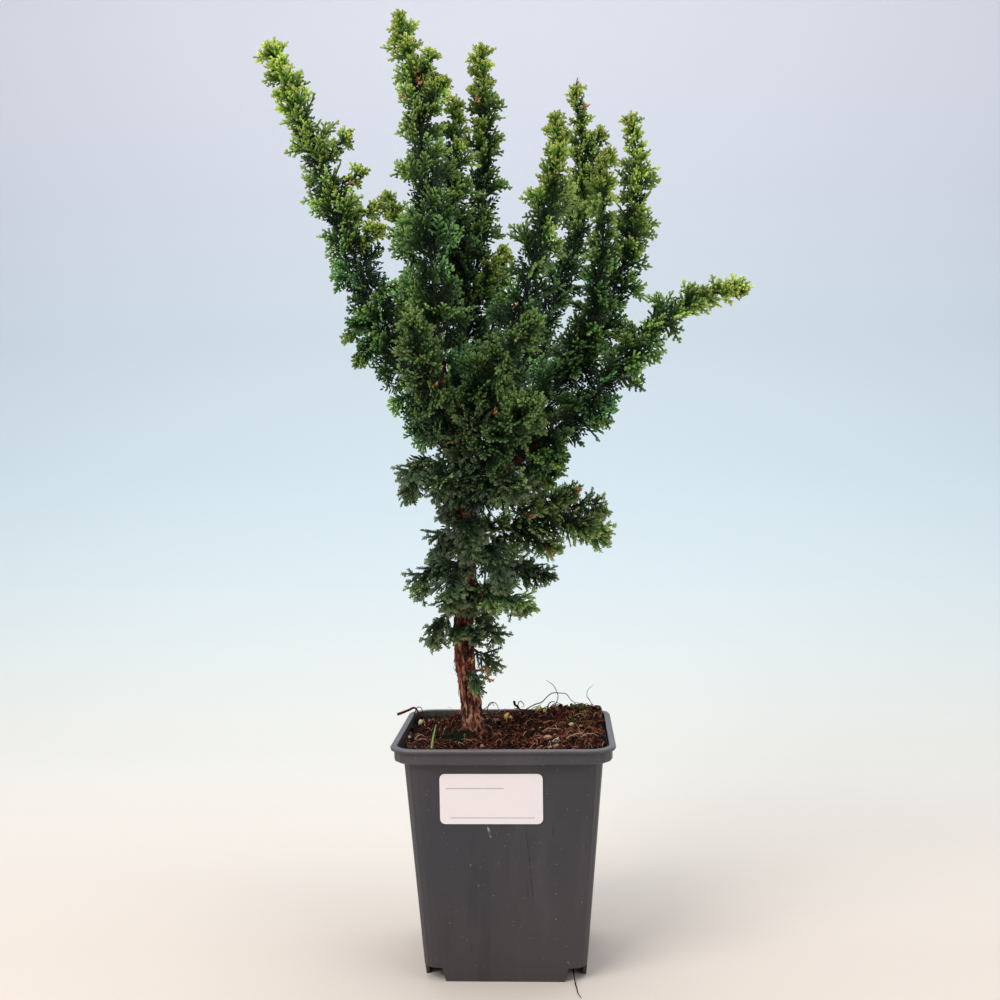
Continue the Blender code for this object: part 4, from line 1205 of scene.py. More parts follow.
# %% A flat strip
def flat_tube(line, radii, out):
    """A tube of four sides whose flat side faces out."""
    forward = unit(np.gradient(line, axis=0))
    across = unit(np.cross(forward, out))
    other = np.cross(forward, across)
    ways = (across, other, -across, -other)
    points = np.stack([line + way * radii[:, k:k + 1] for k, way in enumerate(ways)], 1)
    triangles = []
    for row in range(len(line) - 1):
        for k in range(4):
            a, b = 4 * row + k, 4 * row + (k + 1) % 4
            triangles += [(a, b, b + 4), (a, b + 4, a + 4)]
    last = 4 * (len(line) - 1)
    triangles += [(0, 2, 1), (0, 3, 2), (last, last + 1, last + 2), (last, last + 2, last + 3)]
    return points.reshape(-1, 3), np.array(triangles)


upright = np.array([(0.0, 0.0, k) for k in range(6)])
_, triangles = flat_tube(upright, np.ones((6, 4)), np.array((1.0, 0.0, 0.0)))
print("a strip of six rings has", len(triangles), "triangles")


# %% Peeling strips
STRIPS = 280


def peel_strips(heap, line, distances, usual, rng):
    """Curls of bark that have come off at their upper or their lower end."""
    _, across, other = frames_along(line)
    for _ in range(STRIPS):
        start = rng.randrange(12, len(line) - 70)
        span = rng.randrange(5, 18)
        turn = rng.uniform(0, 2 * math.pi)
        lift = rng.uniform(0.2, 1.5) * MM
        upwards = rng.random() < 0.5
        rows = np.linspace(start, start + span, 6).astype(int)
        path = []
        for index, row in enumerate(rows):
            share = index / 5
            share = share if upwards else 1 - share
            out = across[row] * math.cos(turn) + other[row] * math.sin(turn)
            stand = usual[row] * (1 + bark_height(turn, distances[row])) + lift * share ** 2.5
            path.append(line[row] + out * stand)
            turn += rng.uniform(-0.12, 0.12)
        width = rng.uniform(0.3, 0.9) * MM
        radii = np.array([0.25, 0.8, 1.0, 1.0, 0.8, 0.3]) * width
        radii = np.stack([radii, radii * 0.25, radii, radii * 0.25], 1)
        out = across[rows[2]] * math.cos(turn) + other[rows[2]] * math.sin(turn)
        points, triangles = flat_tube(np.array(path), radii, out)
        heap.add(points, triangles, height=rng.choice((0.25, 0.5, 0.8, 1.0)))


peel_strips(wood, trunk_line, trunk_distances, trunk_radii, random.Random(3))
print(STRIPS, "strips peel off the trunk")

# %% [markdown]
# The roots are short thick tubes that leave the flare and dive into the peat. The bare
# limbs run inside the plumes, where one sees them only through gaps, so they're plain
# tapering tubes with a few lumps.

# %% Roots
ROOTS = (  # heading in degrees, length and radius in mm
    (-52, 19, 1.5), (-8, 15, 1.5), (38, 13, 1.4), (150, 15, 1.7), (205, 18, 1.4), (262, 13, 1.2),
)


def add_roots(heap, rng):
    """The upper sides of the roots, lost in the peat after a few millimetres."""
    foot = np.array(TRUNK[2][:3]) * MM
    for heading, length, radius in ROOTS:
        way = np.array((math.cos(math.radians(heading)), math.sin(math.radians(heading)), 0.0))
        bend = rng.uniform(-0.5, 0.5)
        path = []
        for step in np.linspace(0.15, 1, 9):
            swing = np.array((-way[1], way[0], 0.0)) * bend * step * step * length * 0.3
            place = foot + (way * length * step + swing) * MM
            place[2] = foot[2] + (3.4 - 7.5 * step ** 0.8) * MM
            path.append(place)
        widths = np.linspace(1.0, 0.45, 9) * radius * MM
        shapes = np.array([[w * (1 + 0.2 * lump(p + side, 3 * MM)) for side in range(9)]
                           for p, w in zip(path, widths)])
        points, triangles = tube(path, shapes, 9)
        heap.add(points, triangles, height=rng.uniform(0.5, 0.9))


add_roots(wood, random.Random(5))
print(len(ROOTS), "roots")


# %% Limbs
def add_limbs(heap):
    """The bare wood of each main stem, and a little of it among the sprays."""
    for index, stem in enumerate(stems[:len(BRANCHES)]):
        if stem.bare == 0:
            continue
        leafy = (0.12 if stem.bare > 12 * MM else 0.3) * (stem.length - stem.bare)
        distances = np.arange(0.0, stem.bare + leafy, 2.4 * MM)
        line = stem.at(distances)
        most = 2.1 * MM if stem.name.startswith("leader") else 1.3 * MM
        thick = min(max(0.055 * stem.length, 1.0 * MM), most)
        widths = thick * (1 - 0.72 * distances / stem.length)
        sides = 10 if thick > 1.6 * MM else 7
        lumps = np.array([[0.16 * lump(p + 0.01 * side, 2.5 * MM, index) for side in range(sides)]
                          for p in line])
        radii = widths[:, None] * (1 + lumps)
        points, triangles = tube(line, radii, sides)
        shade = np.append((radii / widths[:, None]).ravel() * 1.6 - 1.1, 0.5)
        heap.add(points, triangles, height=np.clip(shade, 0, 1))


add_limbs(wood)
print(sum(stem.bare > 0 for stem in stems[:len(BRANCHES)]), "limbs with bare wood")

# %% [markdown]
# Bark is darkest in its fissures, where it holds water, and palest on the worn edges of its
# strips; part of both is painted: shade in the fissures and highlight on the edges. So one
# colour ramp runs over the height that the mesh carries, with noise stretched along the
# trunk. Some patches have weathered grey. The wood high in the crown and the foot are
# darker than the middle.

# %% Bark material
UPPER_WOOD, DARKER_FOOT = (0.72, 0.38, 0.30), (0.50, 0.31, 0.27)


def bark_material():
    """Red-brown fibrous bark."""
    material, tree, shader = make_material("red_brown_bark")
    height = attribute(tree, "height")
    long_grain = grain(tree, 420.0, 4.0, stretch=(1.0, 1.0, 0.45))
    patches = grain(tree, 75.0, 3.0)
    flakes = grain(tree, 330.0, 5.0, stretch=(1.0, 1.0, 0.8))
    flaky = number(tree, "MULTIPLY_ADD", flakes, 1.0, -0.5)
    # Partly painted shade and highlight: the stored height draws the fissures darker and the crests
    # paler.
    raised = number(tree, "MULTIPLY_ADD", height, 0.62, flaky)
    level = number(tree, "MULTIPLY_ADD", long_grain, 0.55, raised)
    colour = ramp(tree, level, (0.42, (0.006, 0.002, 0.002)), (0.56, (0.060, 0.014, 0.008)),
                  (0.68, (0.200, 0.052, 0.026)), (0.82, (0.52, 0.250, 0.150)))
    grey = mix(tree, 1.0, colour, (1.0, 1.12, 1.1), "MULTIPLY")
    grey = mix(tree, 0.25, grey, (0.16, 0.115, 0.085))
    worn = ramp(tree, patches, (0.42, (0, 0, 0)), (0.62, (1, 1, 1)))
    colour = mix(tree, worn, colour, grey)
    _, _, z = position(tree)
    upper = number(tree, "MULTIPLY", fade(tree, z, 122 * MM, 152 * MM), 0.75)
    colour = mix(tree, upper, colour, UPPER_WOOD, "MULTIPLY")
    # Darker towards the foot.
    foot_darkening = number(tree, "MULTIPLY", fade(tree, z, 125 * MM, 115 * MM), 0.9)
    colour = mix(tree, foot_darkening, colour, DARKER_FOOT, "MULTIPLY")
    fine = grain(tree, 1900.0, 3.0, stretch=(1.0, 1.0, 0.3))
    relief = number(tree, "ADD", long_grain, number(tree, "MULTIPLY_ADD", fine, 0.4, flaky))
    roughness = number(tree, "MULTIPLY_ADD", fine, 0.25, 0.68)
    relief = bump(tree, relief, 0.0007, 0.9)
    connect(tree, shader, Base_Color=colour, Roughness=roughness, Normal=relief)
    shader.inputs["Specular IOR Level"].default_value = 0.25
    return material


trunk = wood.piece("trunk_bark_and_limbs", bark_material())
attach(trunk, "root")
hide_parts("trunk_and_limbs")
print("trunk, roots and limbs:", triangles_in(trunk), "triangles")

# %% [markdown]
# ## The peat
#
# Potting peat is a crumbly bed with loose bits on it: dark crumbs, red-brown fibres,
# flakes of bark, a few pale grains and a little moss. The bed is a square grid pulled
# into the rounded square of the pot. All bits are laid on it by one seeded rule.

# %% How high the peat lies
SOIL_EDGE, SOIL_HEAP = 113.6 * MM, 3.2 * MM
SOIL_LUMPS = ((55, 1.6 * MM), (150, 0.7 * MM))
SOIL_HALF, COLLAR_HALF = 51.7 * MM, 53.5 * MM
MOUNDS = (  # middle, height and width in mm: moss at the trunk, loose peat at the back right
    (-25, -12, 2.2, 8), (-15, -6, 3.0, 8.5), (43, 40, 3.8, 13), (25, 44, 2.2, 9), (0, 42, 1.2, 8),
)


def soil_level(x, y):
    """The same surface as in the solids: a low heap at the back right, and lumps."""
    heap = max(0.0, (x + y) / (2 * COLLAR_HALF) + 0.25)
    lumps = sum(height * noise(Vector((x, y, 0.0)) * waves) for waves, height in SOIL_LUMPS)
    return SOIL_EDGE + SOIL_HEAP * heap + lumps


def crumbly(x, y):
    """The fine roughness of the bed, lower along the pot's wall."""
    place = (x, y, 0.0)
    rough = 1.5 * lump(place, 6 * MM) + 1.2 * lump(place, 2.6 * MM, 4.0)
    rough += 0.6 * lump(place, 1.3 * MM, 8.0)
    wall = SOIL_HALF - max(abs(x), abs(y))
    mounds = sum(rise * math.exp(-((x / MM - u) ** 2 + (y / MM - v) ** 2) / wide ** 2)
                 for u, v, rise, wide in MOUNDS)
    return (rough + mounds - 1.3 * math.exp(-wall / (2.0 * MM))) * MM


def rest_level(x, y):
    """The top of the bed, where bits lie."""
    return soil_level(x, y) + crumbly(x, y)


for x, y in ((-0.04, -0.04), (0.04, 0.04)):
    print("the peat lies at", round(rest_level(x, y) / MM, 1), "mm at", (x, y))

# %% The square with round corners
SOIL_CORNER = 9.0 * MM


def round_corners(x, y):
    """Points of the square moved into the square with round corners."""
    flat = SOIL_HALF - SOIL_CORNER
    a = np.maximum(np.abs(x) - flat, 0) / SOIL_CORNER
    b = np.maximum(np.abs(y) - flat, 0) / SOIL_CORNER
    near_x = np.minimum(np.abs(x), flat) + SOIL_CORNER * a * np.sqrt(1 - b * b / 2)
    near_y = np.minimum(np.abs(y), flat) + SOIL_CORNER * b * np.sqrt(1 - a * a / 2)
    return np.sign(x) * near_x, np.sign(y) * near_y


def inside_pot(x, y, margin=1.2 * MM):
    """Whether a place is on the peat and clear of the pot's wall."""
    a = max(abs(x) - SOIL_HALF + SOIL_CORNER, 0)
    b = max(abs(y) - SOIL_HALF + SOIL_CORNER, 0)
    near = max(abs(x), abs(y)) < SOIL_HALF - margin
    return near and math.hypot(a, b) < SOIL_CORNER - margin


print("the square's corner moves to", [round(float(v) / MM, 1)
                                       for v in round_corners(SOIL_HALF, SOIL_HALF)], "mm")


# %% The bed's mesh
BED_POINTS, BED_EDGE_LEVEL = 117, 111.2 * MM


def grid_triangles(count):
    """Triangles of a square grid of count by count points."""
    row, column = np.meshgrid(np.arange(count - 1), np.arange(count - 1), indexing="ij")
    a = (row * count + column).ravel()
    return np.concatenate([np.stack([a, a + 1, a + count + 1], 1),
                           np.stack([a, a + count + 1, a + count], 1)])


def make_bed(material):
    """The bed, with its edge pulled down below the pot's rim."""
    span = np.linspace(-SOIL_HALF, SOIL_HALF, BED_POINTS)
    square = [g.ravel() for g in np.meshgrid(span, span)]
    xs, ys = round_corners(*square)
    rough = np.array([crumbly(x, y) for x, y in zip(xs, ys)])
    zs = np.array([soil_level(x, y) for x, y in zip(xs, ys)]) + rough
    zs[np.maximum(*np.abs(square)) > SOIL_HALF - 1e-6] = BED_EDGE_LEVEL
    # Painted shade: low places of the bed, also along the wall, get a low height, which the
    # material draws darker.
    height = np.clip(rough / (3.2 * MM) + 0.45, 0, 1)
    points = np.stack([xs, ys, zs], 1)
    return mesh_piece("peat_bed", points, grid_triangles(BED_POINTS), material, height=height)


print("the bed will have", len(grid_triangles(BED_POINTS)), "triangles")

# %% [markdown]
# Fibres are three-sided threads that bend as they go and rest on the bed. Crumbs are
# small icospheres pushed about by noise, and flakes are thin uneven slabs. Ten crumb
# shapes, turned and stretched at random, look like many more.

# %% Threads
THREAD_SIDES = 5


def scatter(rng):
    """A random place on the peat, more often on the heap at the right."""
    while True:
        x, y = rng.uniform(-SOIL_HALF, SOIL_HALF), rng.uniform(-SOIL_HALF, SOIL_HALF)
        if inside_pot(x, y) and rng.random() < 0.72 + 0.28 * x / SOIL_HALF:
            return x, y


def thread(heap, points, radius, step=1.0 * MM, **values):
    """A tapering thread through the points."""
    line = smooth_line(points, step)
    widths = radius * (1 - 0.6 * np.linspace(0, 1, len(line)) ** 2)
    made, triangles = tube(line, widths, THREAD_SIDES)
    heap.add(made, triangles, **values)


chance = random.Random(1)
print("a random place on the peat:", [round(v / MM, 1) for v in scatter(chance)], "mm")


# %% Fibres
def add_fibres(heap, count, rng):
    """Thin bent fibres lying on the peat, some with one end in the air."""
    for _ in range(count):
        x, y = scatter(rng)
        length = rng.choice((3, 4, 6, 8, 11, 15)) * rng.uniform(0.7, 1.2) * MM
        heading, curl = rng.uniform(0, 2 * math.pi), rng.uniform(-2.2, 2.2)
        arch = rng.uniform(-0.3, 2.6) * MM
        tilt = rng.uniform(-0.5, 0.5) if rng.random() < 0.15 else 0.0
        points = []
        for step in range(5):
            share = step / 4
            if not inside_pot(x, y, 0.6 * MM):
                break
            arched = rest_level(x, y) + 0.15 * MM + arch * math.sin(math.pi * share)
            points.append((x, y, arched + abs(tilt) * length * share))
            heading += curl / 4 + rng.uniform(-0.25, 0.25)
            x, y = x + math.cos(heading) * length / 4, y + math.sin(heading) * length / 4
        if len(points) < 3:
            continue
        widths = rng.uniform(0.10, 0.36) * MM * np.linspace(1, 0.5, len(points))
        made, triangles = tube(points, widths, 3)
        heap.add(made, triangles, tone=rng.uniform(0.1, 1.0) ** 1.2)


trial = Heap()
add_fibres(trial, 10, random.Random(1))
print("ten fibres have", sum(len(part) for part in trial.triangles), "triangles")


# %% Crumbs
def lumpy_ball(seed):
    """Points and triangles of an uneven ball of radius 1."""
    ball = bmesh.new()
    bmesh.ops.create_icosphere(ball, subdivisions=1, radius=1.0)
    points = np.array([tuple(v.co) for v in ball.verts])
    triangles = np.array([[v.index for v in f.verts] for f in ball.faces])
    ball.free()
    swell = np.array([1 + 0.45 * noise(Vector(p) * 1.3 + Vector((seed, 0, 7))) for p in points])
    return points * swell[:, None], triangles


def turn_matrix(rng):
    """A random turn."""
    way = Quaternion([rng.gauss(0, 1) for _ in range(4)]).normalized()
    return np.array(way.to_matrix())


BALLS = [lumpy_ball(3 * k) for k in range(10)]


def add_crumbs(heap, count, rng):
    """Crumbs of peat, most of them dark."""
    for _ in range(count):
        x, y = scatter(rng)
        size = 0.45 * MM * rng.uniform(0.8, 2.6) ** 1.3
        points, triangles = rng.choice(BALLS)
        stretch = (1.0, rng.uniform(0.6, 1.0), rng.uniform(0.45, 0.9))
        placed = (points * stretch) @ turn_matrix(rng).T * size
        tone = rng.uniform(0.0, 0.5) if rng.random() < 0.88 else rng.uniform(0.7, 1.0)
        heap.add(placed + (x, y, rest_level(x, y) + 0.4 * size), triangles, tone=tone)


print(len(BALLS), "crumb shapes with", len(BALLS[0][1]), "triangles each")

# %% Flakes of bark
FLAKE_OUTLINE = ((-0.5, -0.3), (-0.2, -0.5), (0.35, -0.45), (0.5, 0.05), (0.2, 0.5), (-0.4, 0.4))
FLAKE_TRIANGLES = [(0, k + 1, k) for k in range(1, 5)] + [(6, k + 6, k + 7) for k in range(1, 5)]
for k in range(6):
    n = (k + 1) % 6
    FLAKE_TRIANGLES += [(k, n, n + 6), (k, n + 6, k + 6)]


def add_flakes(heap, count, rng):
    """Thin uneven slabs lying about level."""
    for _ in range(count):
        x, y = scatter(rng)
        long, wide = rng.uniform(2.0, 6.0) * MM, rng.uniform(0.6, 1.6) * MM
        ring = np.array([(a * long * rng.uniform(0.8, 1.2), b * wide * rng.uniform(0.7, 1.3), 0)
                         for a, b in FLAKE_OUTLINE])
        thick = rng.uniform(0.15, 0.4) * MM
        points = np.vstack([ring - (0, 0, thick), ring * (0.9, 0.9, 1) + (0, 0, thick)])
        heading = rng.uniform(0, 2 * math.pi)
        roll = Matrix.Rotation(rng.gauss(0, 0.35), 3, "X")
        tilt = roll @ Matrix.Rotation(rng.gauss(0, 0.3), 3, "Y")
        matrix = np.array(Matrix.Rotation(heading, 3, "Z") @ tilt)
        placed = points @ matrix.T + (x, y, rest_level(x, y) + 0.5 * MM)
        heap.add(placed, np.array(FLAKE_TRIANGLES), tone=rng.uniform(0.15, 0.75))


print("a flake has", len(FLAKE_TRIANGLES), "triangles")

# %% [markdown]
# Peat is red-brown where it has dried. The bed is nearly black in its hollows and along the
# pot's wall, which is painted shade: it takes its colour from the height that the mesh carries
# and from noise, with a green tinge of moss round the trunk's foot. Each loose bit has a tone
# of its own, so one material with a colour ramp serves a thousand bits.

# %% Peat bed material
TRUNK_FOOT = (-0.025, -0.014, 0.117)


def peat_bed_material():
    """Dark peat with moss round the trunk's foot."""
    material, tree, shader = make_material("dark_peat")
    height, mottle = attribute(tree, "height"), grain(tree, 260.0, 4.0)
    # Painted shade: the bed's colour darkens where its stored height is low.
    level = number(tree, "MULTIPLY_ADD", mottle, 0.7, number(tree, "MULTIPLY", height, 0.4))
    colour = ramp(tree, level, (0.40, (0.002, 0.001, 0.001)), (0.58, (0.015, 0.005, 0.003)),
                  (0.74, (0.075, 0.018, 0.009)), (0.9, (0.22, 0.080, 0.040)))
    moss = ramp(tree, grain(tree, 38.0, 2.0), (0.58, (0, 0, 0)), (0.70, (1, 1, 1)))
    colour = mix(tree, number(tree, "MULTIPLY", moss, 0.6), colour, (0.012, 0.022, 0.008))
    place = add(tree, "ShaderNodeTexCoord").outputs["Object"]
    away = add(tree, "ShaderNodeVectorMath", {0: place, 1: TRUNK_FOOT}, operation="DISTANCE")
    near = number(tree, "SUBTRACT", 13 * MM, away.outputs["Value"])
    uneven = number(tree, "MULTIPLY_ADD", mottle, 2.0, -1.2)
    patch = number(tree, "MULTIPLY_ADD", near, 150.0, uneven)
    patch = add(tree, "ShaderNodeClamp", {"Value": patch}).outputs["Result"]
    colour = mix(tree, number(tree, "MULTIPLY", patch, 0.85), colour, (0.009, 0.015, 0.010))
    fine = grain(tree, 1300.0, 4.0)
    relief = number(tree, "ADD", mottle, number(tree, "MULTIPLY", fine, 0.5))
    relief = bump(tree, relief, 0.001, 1.0)
    roughness = number(tree, "MULTIPLY_ADD", fine, 0.2, 0.78)
    connect(tree, shader, Base_Color=colour, Roughness=roughness, Normal=relief)
    shader.inputs["Specular IOR Level"].default_value = 0.2
    return material


PEAT_BED = peat_bed_material()
print("material:", PEAT_BED.name)


# %% Materials of the loose bits
def bits_material(name, spread, scale, *stops):
    """Colour from the tone of each bit, moved a little by noise."""
    material, tree, shader = make_material(name)
    mottle = grain(tree, scale, 3.0)
    shift = number(tree, "MULTIPLY_ADD", mottle, spread, -0.5 * spread)
    level = number(tree, "ADD", attribute(tree, "tone"), shift)
    connect(tree, shader, Base_Color=ramp(tree, level, *stops),
            Roughness=number(tree, "MULTIPLY_ADD", mottle, 0.3, 0.65),
            Normal=bump(tree, mottle, 0.0005, 0.8))
    shader.inputs["Specular IOR Level"].default_value = 0.12
    return material


PEAT_BITS = bits_material("peat_bits", 0.4, 700.0, (0.0, (0.004, 0.002, 0.001)),
                          (0.38, (0.022, 0.006, 0.003)), (0.6, (0.13, 0.026, 0.013)),
                          (0.82, (0.28, 0.100, 0.050)), (1.0, (0.50, 0.33, 0.22)))
GRAINS = bits_material("pale_grains", 0.15, 500.0, (0.0, (0.15, 0.075, 0.085)),
                       (0.25, (0.36, 0.22, 0.13)), (0.5, (0.68, 0.52, 0.38)),
                       (0.75, (0.68, 0.56, 0.24)), (1.0, (0.80, 0.50, 0.11)))
MOSS = bits_material("moss_and_shoots", 0.3, 600.0, (0.0, (0.006, 0.014, 0.007)),
                     (0.4, (0.016, 0.040, 0.014)), (0.75, (0.10, 0.17, 0.05)),
                     (1.0, (0.30, 0.42, 0.13)))
print("materials:", PEAT_BITS.name + ",", GRAINS.name, "and", MOSS.name)

# %% [markdown]
# ## Single things on the peat
#
# Some bits are large enough to tell apart, so they're placed one by one: yellow and
# cream grains, a mauve pebble, a grass blade, dark dry wisps that stand above the rim,
# a dead twig over the left corner, and cushions of moss round the trunk.

# %% Where the grains lie
GRAIN_ROWS = (  # x, y, height above the peat, size in mm, tone
    (-49.5, -7, 0.8, 1.3, 0.5), (-33, 14, 0.9, 1.2, 0.55), (-47.5, 31, 1.2, 1.9, 0.7),
    (-1, 31, 1.9, 1.9, 1.0), (1.4, 29.5, 1.4, 1.4, 0.85), (-0.6, 35.0, 2.4, 1.4, 0.9),
    (16, 43, 2.6, 2.1, 0.95), (19.6, 42.5, 2.2, 1.9, 0.9), (23, -36, 0.9, 1.3, 0.45),
    (22, -16, 1.6, 2.2, 0.36), (26, -24, 1.6, 2.0, 0.42), (34, 13, 1.2, 1.7, 0.72),
    (-1.5, 46, 1.7, 1.9, 0.0), (17.5, 11, 0.8, 0.8, 0.5), (-23, -15, 0.7, 0.6, 0.5),
    (-8, -32, 0.7, 0.7, 0.5), (-10.5, -35, 1.0, 1.4, 0.33), (12, 30, 1.0, 0.8, 0.6),
    (40, -30, 0.8, 0.8, 0.5), (-41, -28, 0.8, 0.7, 0.45), (38, 30, 1.0, 1.0, 0.6),
)
print(len(GRAIN_ROWS), "grains are placed one by one")

# %% Wisps and the twig
TWIG_RADIUS = 0.8
TWIG_TONE, WISP_TONE = 0.54, 0.072  # only the twig is pale
WISPS = (  # radius in mm, then points in mm
    (0.28, (-12.1, 43.5, 118.6), (-11.0, 43.6, 122.3), (-9.4, 43.6, 123.2), (-7.2, 43.7, 122.6),
     (-5.5, 43.8, 119.1)),
    (0.75, (2.7, 46.2, 123.5), (3.2, 46.2, 121.3), (4.9, 46.3, 120.2), (5.9, 46.3, 117.0)),
    (0.3, (4.3, 46.2, 118.7), (5.4, 46.3, 122.9), (7.1, 46.3, 122.9), (8.2, 46.4, 120.7),
     (6.5, 46.3, 120.1)),
    (0.32, (7.6, 45.4, 118.0), (13.7, 45.6, 121.4), (18.1, 45.8, 123.0), (21.5, 46.0, 126.3),
     (24.2, 46.1, 127.9), (28.1, 46.2, 127.8), (31.4, 46.4, 127.3), (34.1, 46.5, 123.9),
     (36.8, 46.6, 121.7), (39.0, 46.7, 117.0)),
    (0.26, (23.5, 48.1, 118.0), (26.4, 48.2, 123.1), (27.0, 48.2, 125.9), (25.9, 48.2, 129.2),
     (24.3, 48.1, 132.0), (20.4, 47.9, 134.8)),
    (0.45, (21.4, 41.0, 116.3), (21.5, 41.0, 121.6), (23.1, 41.0, 123.8), (25.3, 41.1, 123.8)),
    (0.22, (46.8, 48.1, 119.0), (44.0, 47.9, 124.2), (42.9, 47.9, 125.9), (43.5, 47.9, 129.2),
     (46.3, 48.0, 131.9)),
    (TWIG_RADIUS, (-61.0, 37.4, 117.8), (-57.9, 37.5, 118.9), (-54.6, 37.7, 120.2),
     (-51.3, 37.8, 121.3), (-48.5, 37.9, 117.0)),
    (0.3, (-52.0, 39.0, 117.5), (-50.0, 38.0, 121.5), (-47.8, 38.5, 121.0), (-46.8, 39.0, 116.5)),
    (0.35, (33.3, -27.9, 6.5), (33.6, -36.5, 3.4), (34.3, -43.0, 0.5), (34.9, -48.0, 0.4),
     (35.3, -54.0, 0.4), (36.8, -60.9, 0.6)),
)
GRASS_BLADE = ((-35, -41, 115.5), (-35.2, -30, 118.5), (-35.4, -16, 120.5), (-35.6, -8, 121.0))
SMALL_LEAF = ((34.0, 37.5, 123.5), (34.5, 37.5, 121.1), (35.1, 37.5, 116.8))
print(len(WISPS), "wisps, the last one from a drain notch to the table")

# %% Moss
MOSS_CUSHIONS = (  # x, y, radius in mm, blades, tone
    (-22, -9, 8.5, 260, 0.04), (-27, -19, 7.5, 200, 0.02), (-13, 6, 4, 60, 0.3),
    (-38, 45, 7, 110, 0.35), (40, 40, 7, 90, 0.6), (38, 22, 5.5, 70, 0.5), (-45, -30, 4, 30, 0.5),
)


def add_moss(heap, rng):
    """Short blades that lean all ways."""
    for x, y, radius, blades, tone in MOSS_CUSHIONS:
        for _ in range(blades):
            away, turn = radius * math.sqrt(rng.random()) * MM, rng.uniform(0, 2 * math.pi)
            foot_x, foot_y = x * MM + away * math.cos(turn), y * MM + away * math.sin(turn)
            if not inside_pot(foot_x, foot_y):
                continue
            tall = rng.uniform(0.8, 2.4) * MM * (1.1 - 0.5 * away / (radius * MM))
            foot = np.array((foot_x, foot_y, rest_level(foot_x, foot_y) - 0.2 * MM))
            lean = np.array((rng.gauss(0, 0.4), rng.gauss(0, 0.4), 1.0))
            points, triangles = tube([foot, foot + lean * tall * 0.5, foot + lean * tall],
                                     np.array((0.35, 0.3, 0.1)) * MM, 4)
            tone_here = float(np.clip(tone + rng.uniform(-0.15, 0.25), 0, 1))
            heap.add(points, triangles, tone=tone_here)


print(len(MOSS_CUSHIONS), "cushions of moss")

# %% Lay the bits
FIBRES, CRUMBS, FLAKES, SMALL_GRAINS = 1500, 900, 300, 90
bits, grains, greens = Heap(), Heap(), Heap()
rng = random.Random(11)
add_fibres(bits, FIBRES, rng)
add_crumbs(bits, CRUMBS, rng)
add_flakes(bits, FLAKES, rng)
for x, y, up, size, tone in GRAIN_ROWS:
    points, triangles = rng.choice(BALLS)
    placed = (points * (1.0, 0.8, 0.75)) @ turn_matrix(rng).T * size * MM
    place = (x * MM, y * MM, soil_level(x * MM, y * MM) + up * MM)
    grains.add(placed + place, triangles, tone=tone)
for _ in range(SMALL_GRAINS):
    x, y = scatter(rng)
    points, triangles = rng.choice(BALLS)
    placed = (points * (1.0, 0.7, 0.6)) @ turn_matrix(rng).T * rng.uniform(0.25, 0.6) * MM
    place = (x, y, rest_level(x, y) + 0.8 * MM)
    grains.add(placed + place, triangles, tone=rng.choice((0.3, 0.5, 0.72)))
for radius, *points in WISPS:
    tone = TWIG_TONE if radius == TWIG_RADIUS else WISP_TONE
    thread(bits, np.array(points) * MM, radius * MM, step=0.8 * MM, tone=tone)
add_moss(greens, rng)
thread(greens, np.array(GRASS_BLADE) * MM, 0.55 * MM, tone=0.95)
thread(greens, np.array(SMALL_LEAF) * MM, 0.9 * MM, tone=0.62)
print("bits laid:", FIBRES + CRUMBS + FLAKES, "and", SMALL_GRAINS + len(GRAIN_ROWS), "grains")

# %% The peat's four pieces
peat_pieces = [make_bed(PEAT_BED), bits.piece("peat_fibres_and_crumbs", PEAT_BITS, smooth=False),
               grains.piece("grains", GRAINS), greens.piece("moss_and_blades", MOSS)]
for piece in peat_pieces:
    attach(piece, "root")
    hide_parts("soil")
    print(piece.name, triangles_in(piece), "triangles")

# %% [markdown]
# ## The pot and its sticker
#
# The pot is vacuum-formed or moulded from recycled plastic, so its grey is never quite
# even: it shows faint upright streaks, rubbed patches and scuffs, and peat dust on the
# rim. Its collar is drawn lighter as painted light, and the pale top of its lip is partly
# dust and partly painted light. The sticker is coated paper. It's left without any
# lettering and has only thin ruled lines, as a nursery sticker has before it's written on.

# %% Places on the pot
LABEL_X, LABEL_Z = -5.6 * MM, 92.5 * MM
SCRATCH, SCRAPE = (12.1, 76.0, 0.6, 3.0), (20.4, 58, 0.35, 22)  # middle x, z, half sizes, mm


def spot(tree, x, z, oval):
    """1 inside a soft upright oval on the front wall."""
    middle_x, middle_z, half_x, half_z = (value * MM for value in oval)
    a = number(tree, "DIVIDE", number(tree, "SUBTRACT", x, middle_x), half_x)
    b = number(tree, "DIVIDE", number(tree, "SUBTRACT", z, middle_z), half_z)
    square = number(tree, "ADD", number(tree, "MULTIPLY", a, a), number(tree, "MULTIPLY", b, b))
    return fade(tree, square, 1.3, 0.5)


print("the sticker's middle is", round(LABEL_Z / MM, 1), "mm above the table")


